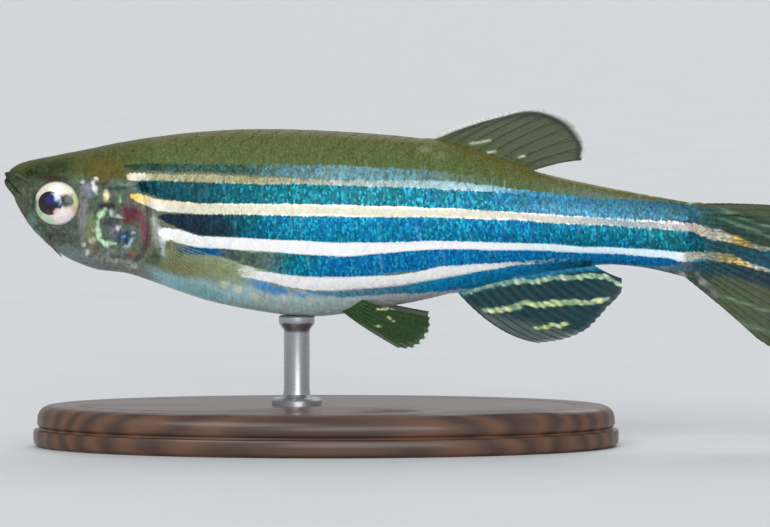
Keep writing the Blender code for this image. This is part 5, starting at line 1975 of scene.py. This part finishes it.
def caudal_paint(points, where):
    x, z, t = points[..., 0], points[..., 2], where[..., 1]
    wander = 0.05 * ripple(points, 1.2, 71)
    dark, ink, sparkle = stripes(x, z + wander, DARK_STRIPES, DARK_COLOURS)
    light, gleam, broken = stripes(x, z + wander, LIGHT_STRIPES, LIGHT_COLOURS)
    inside = rise(dark, -0.3, 0.1)
    colour = blend_to(CLEAR_OLIVE, ground_colour(points), 1 - rise(x, 40, 41.8))
    colour = blend_to(colour, ink * 0.9, inside * 0.94)
    solid = 0.76 + 0.2 * inside + 0.24 * rise(0.25 - t, 0, 0.15)
    speck = rise(ripple(points * (1, 1, 2), 0.34, 77), -0.35, 0.45)
    bead = (0.25 + 0.75 * speck) * broken + 1 - broken
    cover = rise(light + 0.05 * ripple(points, 0.3, 74) * broken, -0.05, 0.06) * bead
    gleam = blend_to(gleam, gleam * 0.55, broken * rise(ripple(points, 0.26, 75), -0.2, 0.6) * 0.8)
    colour = blend_to(colour, gleam, cover * 0.95)
    solid = solid + (1 - solid) * cover
    for offset, strength in CAUDAL_STREAKS:
        far = np.abs(z - (offset - 0.34 * np.clip(x - 41.5, 0, None)))
        streak = strength * ridge(far, 0.14) * rise(x, 40.8, 42.2) * rise(49.0 - x, 0, 2)
        streak = streak * rise(ripple(points * (1, 1, 3), 1, 79), -0.4, 0.4)
        colour = blend_to(colour, rgb(150, 190, 160), streak)
    return colour, np.clip(solid, 0, 1), sparkle * inside

# %% [markdown]
# ### Paired fins' colours
# The pectoral fin is nearly clear, and the pelvic fin dark green with short yellow streaks.

# %% Colours of the paired fins
PECTORAL_RAYS = 11
PELVIC_STREAKS = (
    ((21.6, -4.95), (22.9, -4.85)),
    ((22.2, -5.4), (22.5, -5.6)),
    ((21.4, -5.85), (21.8, -5.95)),
)


def pectoral_paint(points, where):
    t = where[..., 1]
    colour = blend_to(rgb(146, 146, 108), rgb(184, 186, 150), 0.5 * rise(0.3 - t, 0, 0.3))
    lower = where[..., 0] / PECTORAL_RAYS
    return colour, 0.08 - 0.14 * lower + 0.4 * rise(0.2 - t, 0, 0.2), 0 * t


def pelvic_paint(points, where):
    x, z = side_view(points)
    t = where[..., 1]
    colour = rgb(52, 78, 40)
    solid = 0.72 + 0.22 * rise(0.25 - t, 0, 0.25)
    broken = rise(ripple(points, 0.3, 58), -0.5, 0.4)
    for streak in PELVIC_STREAKS:
        far, _ = line_distance(x, z, streak)
        colour = blend_to(colour, rgb(226, 230, 176), ridge(far, 0.07) * broken)
        solid = solid + (0.95 - solid) * ridge(far, 0.09) * broken
    return colour, solid, 0 * t

# %% [markdown]
# ### The fins' finishes
# The colour is mostly worked out above. The material adds grain along the rays, their joints, and the
# blue cells where a stripe of the body runs on. Rays are a little more solid than the skin between them.


# %% Fin finishes
def fin_finish(name, more_solid, roughness):
    paint = Finish(name)
    ground = paint.attribute("ground", "Color")
    solid = paint.attribute("solid", "Fac")
    ray, length, sparkle = paint.parts(paint.attribute("where"))
    lie = paint.add("ShaderNodeCombineXYZ", None, {0: ray * 3.0, 1: length * 9.0})
    grain = paint.noise(lie, 1.6, 3.0)
    along = length * (2 * pi * RAY_JOINTS)
    joints = along.math("SINE", along)
    cell, _, glint = paint.parts(paint.cells(paint.stretch(paint.attribute("flat"), CELL_COLUMNS)))
    colour = paint.dim(ground, 0.68 + grain * 0.5 + joints * 0.06 + (cell - 0.5) * (0.3 + sparkle))
    colour = paint.mix(paint.fade(glint, 0.68, 1.0) * sparkle * 0.6, colour, SKY)
    return paint.finish(
        Base_Color=colour,
        Alpha=solid + more_solid + (grain - 0.5) * 0.16,
        Roughness=roughness,
        Specular_IOR_Level=0.15,
        Coat_Weight=0.06,
        Coat_Roughness=0.15,
        Normal=paint.bump(grain, 0.00002, 0.5),
    )


membrane_finish = fin_finish("fin membrane", 0.0, 0.38)
ray_finish = fin_finish("fin ray", 0.22, 0.42)
print("finishes:", membrane_finish.name, "and", ray_finish.name)

# %% [markdown]
# ### Building the fins
# One function builds a membrane and its rays. The paired fins are built for the left side and mirrored.

# %% Fins
RAY_BRIGHTNESS = 1.2
# Name, place function, colours, number of rays, unbranched ones, depth of notches, ray size, sides
FINS = (
    ("dorsal_fin", dorsal_ray, dorsal_paint, 10, 2, 0.012, 1.0, (0,)),
    ("anal_fin", anal_ray, anal_paint, 16, 3, 0.014, 0.85, (0,)),
    ("caudal_fin", caudal_ray, caudal_paint, 20, 0, 0.03, 0.95, (0,)),
    ("pectoral_fin", pectoral_ray, pectoral_paint, PECTORAL_RAYS, 1, 0.03, 0.6, (-1, 1)),
    ("pelvic_fin", pelvic_ray, pelvic_paint, 8, 1, 0.025, 0.75, (-1, 1)),
)
SIDE_NAMES = {-1: "_left", 0: "", 1: "_right"}


def fin_attributes(points, where, recipe, brighter):
    colour, solid, sparkle = recipe(points, where)
    where = stack(where[:, 0], where[:, 1], sparkle)
    return {"ground": colour * brighter, "solid": solid, "where": where, "flat": points * (1, 0, 1)}


def fin_pieces(name, ray_at, recipe, rays, unbranched, notch, ray_size, side):
    flip = -1 if side > 0 else 1
    points, faces, where = membrane(ray_at, rays, notch, 80 + rays)
    if side > 0:
        faces = [face[::-1] for face in faces]
    sheet = mesh_of(set_in_place(points * (1, flip, 1)), faces)
    write_attributes(sheet, fin_attributes(points, where, recipe, 1.0))
    label = SIDE_NAMES[side]
    piece(f"{name}_membrane{label}", sheet, membrane_finish, (f"{name}{label}",), sharp=50)
    lines = ray_mesh(ray_at, rays, unbranched, ray_size)
    grown = rod_pattern.grow(lines, {"Sides": 6, "Finish": ray_finish})
    points, where = read_attribute(grown), read_attribute(grown, "where")
    if side > 0:
        grown.flip_normals()
    placed = {"position": set_in_place(points * (1, flip, 1))}
    write_attributes(grown, {**fin_attributes(points, where, recipe, RAY_BRIGHTNESS), **placed})
    piece(f"{name}_rays{label}", grown, ray_finish)


for name, ray_at, recipe, rays, unbranched, notch, ray_size, sides in FINS:
    for side in sides:
        fin_pieces(name, ray_at, recipe, rays, unbranched, notch, ray_size, side)

# %% [markdown]
# ## Barbels
# Four short feelers hang round a danio's mouth, one pair at the rim of the upper jaw and one behind the
# corners. The solids have them thick enough to be made. Here they have their real thickness, and the
# same tree that made the rays makes them.

# %% Barbels
RIM_BARBEL = ((0.75, 2.75), 0.75, (1.2, -0.3, -0.7))
CORNER_BARBEL = ((2.6, -0.72), 0.9, (1.2, 0.0, -0.7))
BARBEL_RADIUS = (0.12, 0.035)

barbel_paint = Finish("barbel")
barbel_spots = barbel_paint.noise(barbel_paint.add("ShaderNodeTexCoord", output="Object"), 9000.0)
barbel_finish = barbel_paint.finish(
    Base_Color=barbel_paint.mix(barbel_spots, rgb(50, 58, 38), rgb(92, 98, 70)),
    Roughness=0.5,
    Specular_IOR_Level=0.2,
    Coat_Weight=0.1,
)

for place, ((root_x, root_z), length, sweep) in (("rim", RIM_BARBEL), ("corner", CORNER_BARBEL)):
    for label, side in SIDES:
        angle = angle_at(root_x, root_z)
        out = flank_normal(root_x, angle)
        t = np.linspace(-0.25, 1, 26)[:, None]
        line = flank(root_x, angle) + out * length * t + np.array(sweep) * np.sign(t) * t**2
        lines = mesh_of(line * (1, -side, 1), [], step_edges(len(line)))
        write_attributes(lines, {"thick": np.interp(t[:, 0], (0, 1), BARBEL_RADIUS)})
        grown = rod_pattern.grow(lines, {"Sides": 10, "Finish": barbel_finish})
        write_attributes(grown, {"position": set_in_place(read_attribute(grown))})
        piece(f"barbel_{place}_{label}_fine", grown, barbel_finish, (f"barbel_{place}_{label}",))

# %% [markdown]
# ## Stand
# The fish swam in open water, so the model is held by a plain turned stand: an oval wooden base with a
# moulded edge and one steel rod up to the belly, with a collar below and a small cup above.

# %% Turned shapes
BASE_CENTRE_X = -6.0
BASE_HALF_LENGTH = 17.0
BASE_HALF_WIDTH = 8.4
BASE_HEIGHT = 2.4
ROD_X = 16.9
ROD_RADIUS = 0.75
BASE_PROFILE = (
    (0.3, 0), (0.05, 0.2), (0, 0.4), (0, 0.85), (0.05, 0.98), (0.3, 1.02), (0.36, 1.12),
    (0.28, 1.2), (0.22, 1.35), (0.24, 1.75), (0.34, 2.02), (0.52, 2.22), (0.78, 2.35), (1.1, 2.4),
    (2.4, 2.4), (2.5, 2.34), (2.6, 2.4),
)


def turned(profile, sides, stretch, centre):
    """A closed shape turned about an upright axis: radius and height along its side, in millimetres."""
    radius, height = np.array(profile, float).T
    turn = np.linspace(0, 2 * pi, sides, endpoint=False)
    x = centre[0] + (stretch[0] + radius[:, None]) * np.cos(turn)
    y = centre[1] + (stretch[1] + radius[:, None]) * np.sin(turn)
    z = np.broadcast_to(height[:, None], x.shape)
    points = stack(x, y, z).reshape(-1, 3)
    poles = [(centre[0], centre[1], height[0]), (centre[0], centre[1], height[-1])]
    return mesh_of(np.concatenate([points, poles]) * MM, closed_tube(len(profile), sides))

# %% [markdown]
# ### Wood and steel
# The base is dark walnut under a satin lacquer, with its grain along the base. The rod is brushed steel,
# whose fine marks run round it as they do after turning.

# %% Wood and steel
wood = Finish("dark walnut")
grain_place = wood.stretch(wood.add("ShaderNodeTexCoord", output="Object"), (90.0, 900.0, 900.0))
bands = wood.add(
    "ShaderNodeTexWave",
    {"bands_direction": "Y"},
    {"Vector": grain_place, "Scale": 0.35, "Distortion": 6.0, "Detail": 3.0, "Detail Scale": 1.2},
    output="Fac",
)
pores = wood.noise(wood.stretch(grain_place, (1.6, 6.0, 6.0)), 1.0, 3.0)
wood_colour = wood.mix(bands * 0.7 + pores * 0.3, rgb(52, 32, 22), rgb(104, 68, 44))
wood_finish = wood.finish(
    Base_Color=wood_colour,
    Roughness=0.42 + pores * 0.15,
    Coat_Weight=0.4,
    Coat_Roughness=0.18,
    Normal=wood.bump(pores, 0.00003, 0.5),
)

steel = Finish("brushed steel")
brush_place = steel.stretch(steel.add("ShaderNodeTexCoord", output="Object"), (1500.0, 1500.0, 26000.0))
brushing = steel.noise(brush_place, 1.0, 2.0)
steel_finish = steel.finish(
    Base_Color=steel.mix(brushing, rgb(150, 151, 154), rgb(196, 197, 200)),
    Roughness=0.24 + brushing * 0.16,
    Metallic=1.0,
    Normal=steel.bump(brushing, 0.00001, 0.4),
)
print("finishes:", wood_finish.name, "and", steel_finish.name)

# %% [markdown]
# ### Base and rod
# The base's edge follows its profile all the way round. The rod's profile has the collar at its foot and
# the cup at its top, which reaches the belly.

# %% Stand pieces
BASE_SIDES = 180
ROD_SIDES = 64
COLLAR_RADIUS = 1.45
CUP_RADIUS = 1.05

base_profile = [(-inset, z) for inset, z in BASE_PROFILE]
base_mesh = turned(base_profile, BASE_SIDES, (BASE_HALF_LENGTH, BASE_HALF_WIDTH), (BASE_CENTRE_X, 0.0))
piece("stand_base_turned", base_mesh, wood_finish, ("stand_base",), sharp=32)
rod_top = LEVEL_HEIGHT + float(belly_line(ROD_X))
rod_shape = (
    (0.6, BASE_HEIGHT - 0.1), (COLLAR_RADIUS, BASE_HEIGHT - 0.02), (COLLAR_RADIUS, BASE_HEIGHT + 0.28),
    (COLLAR_RADIUS - 0.12, BASE_HEIGHT + 0.4), (ROD_RADIUS + 0.2, BASE_HEIGHT + 0.45),
    (ROD_RADIUS + 0.04, BASE_HEIGHT + 0.62), (ROD_RADIUS, BASE_HEIGHT + 0.9),
    (ROD_RADIUS, rod_top - 0.95), (ROD_RADIUS + 0.03, rod_top - 0.75), (CUP_RADIUS - 0.04, rod_top - 0.45),
    (CUP_RADIUS, rod_top - 0.3), (CUP_RADIUS, rod_top - 0.02), (CUP_RADIUS - 0.1, rod_top + 0.06),
    (0.4, rod_top + 0.08),
)
rod_mesh = turned(rod_shape, ROD_SIDES, (0.0, 0.0), (SNOUT_X + ROD_X, 0.0))
piece("stand_rod_turned", rod_mesh, steel_finish, ("stand_rod",), sharp=32)

# %% [markdown]
# ## Floor
# A wide pale disc, so that it fills the picture from any side. It is not part of the object.

# %% Floor
FLOOR_RADIUS = 40.0
FLOOR_SIDES = 128

floor_turn = np.linspace(0, 2 * pi, FLOOR_SIDES, endpoint=False)
floor_rim = FLOOR_RADIUS * stack(np.cos(floor_turn), np.sin(floor_turn), 0)
floor_mesh = mesh_of(floor_rim, [tuple(range(FLOOR_SIDES))])

floor_paint = Finish("pale floor")
floor_grain = floor_paint.noise(floor_paint.add("ShaderNodeTexCoord", output="Object"), 60.0)
floor_mesh.materials.append(
    floor_paint.finish(
        Base_Color=floor_paint.mix(floor_grain, rgb(214, 216, 216), rgb(222, 224, 225)),
        Roughness=0.75,
    )
)
floor = bpy.data.objects.new("floor", floor_mesh)
scene.collection.objects.link(floor)
print("floor across:", 2 * FLOOR_RADIUS, "m")
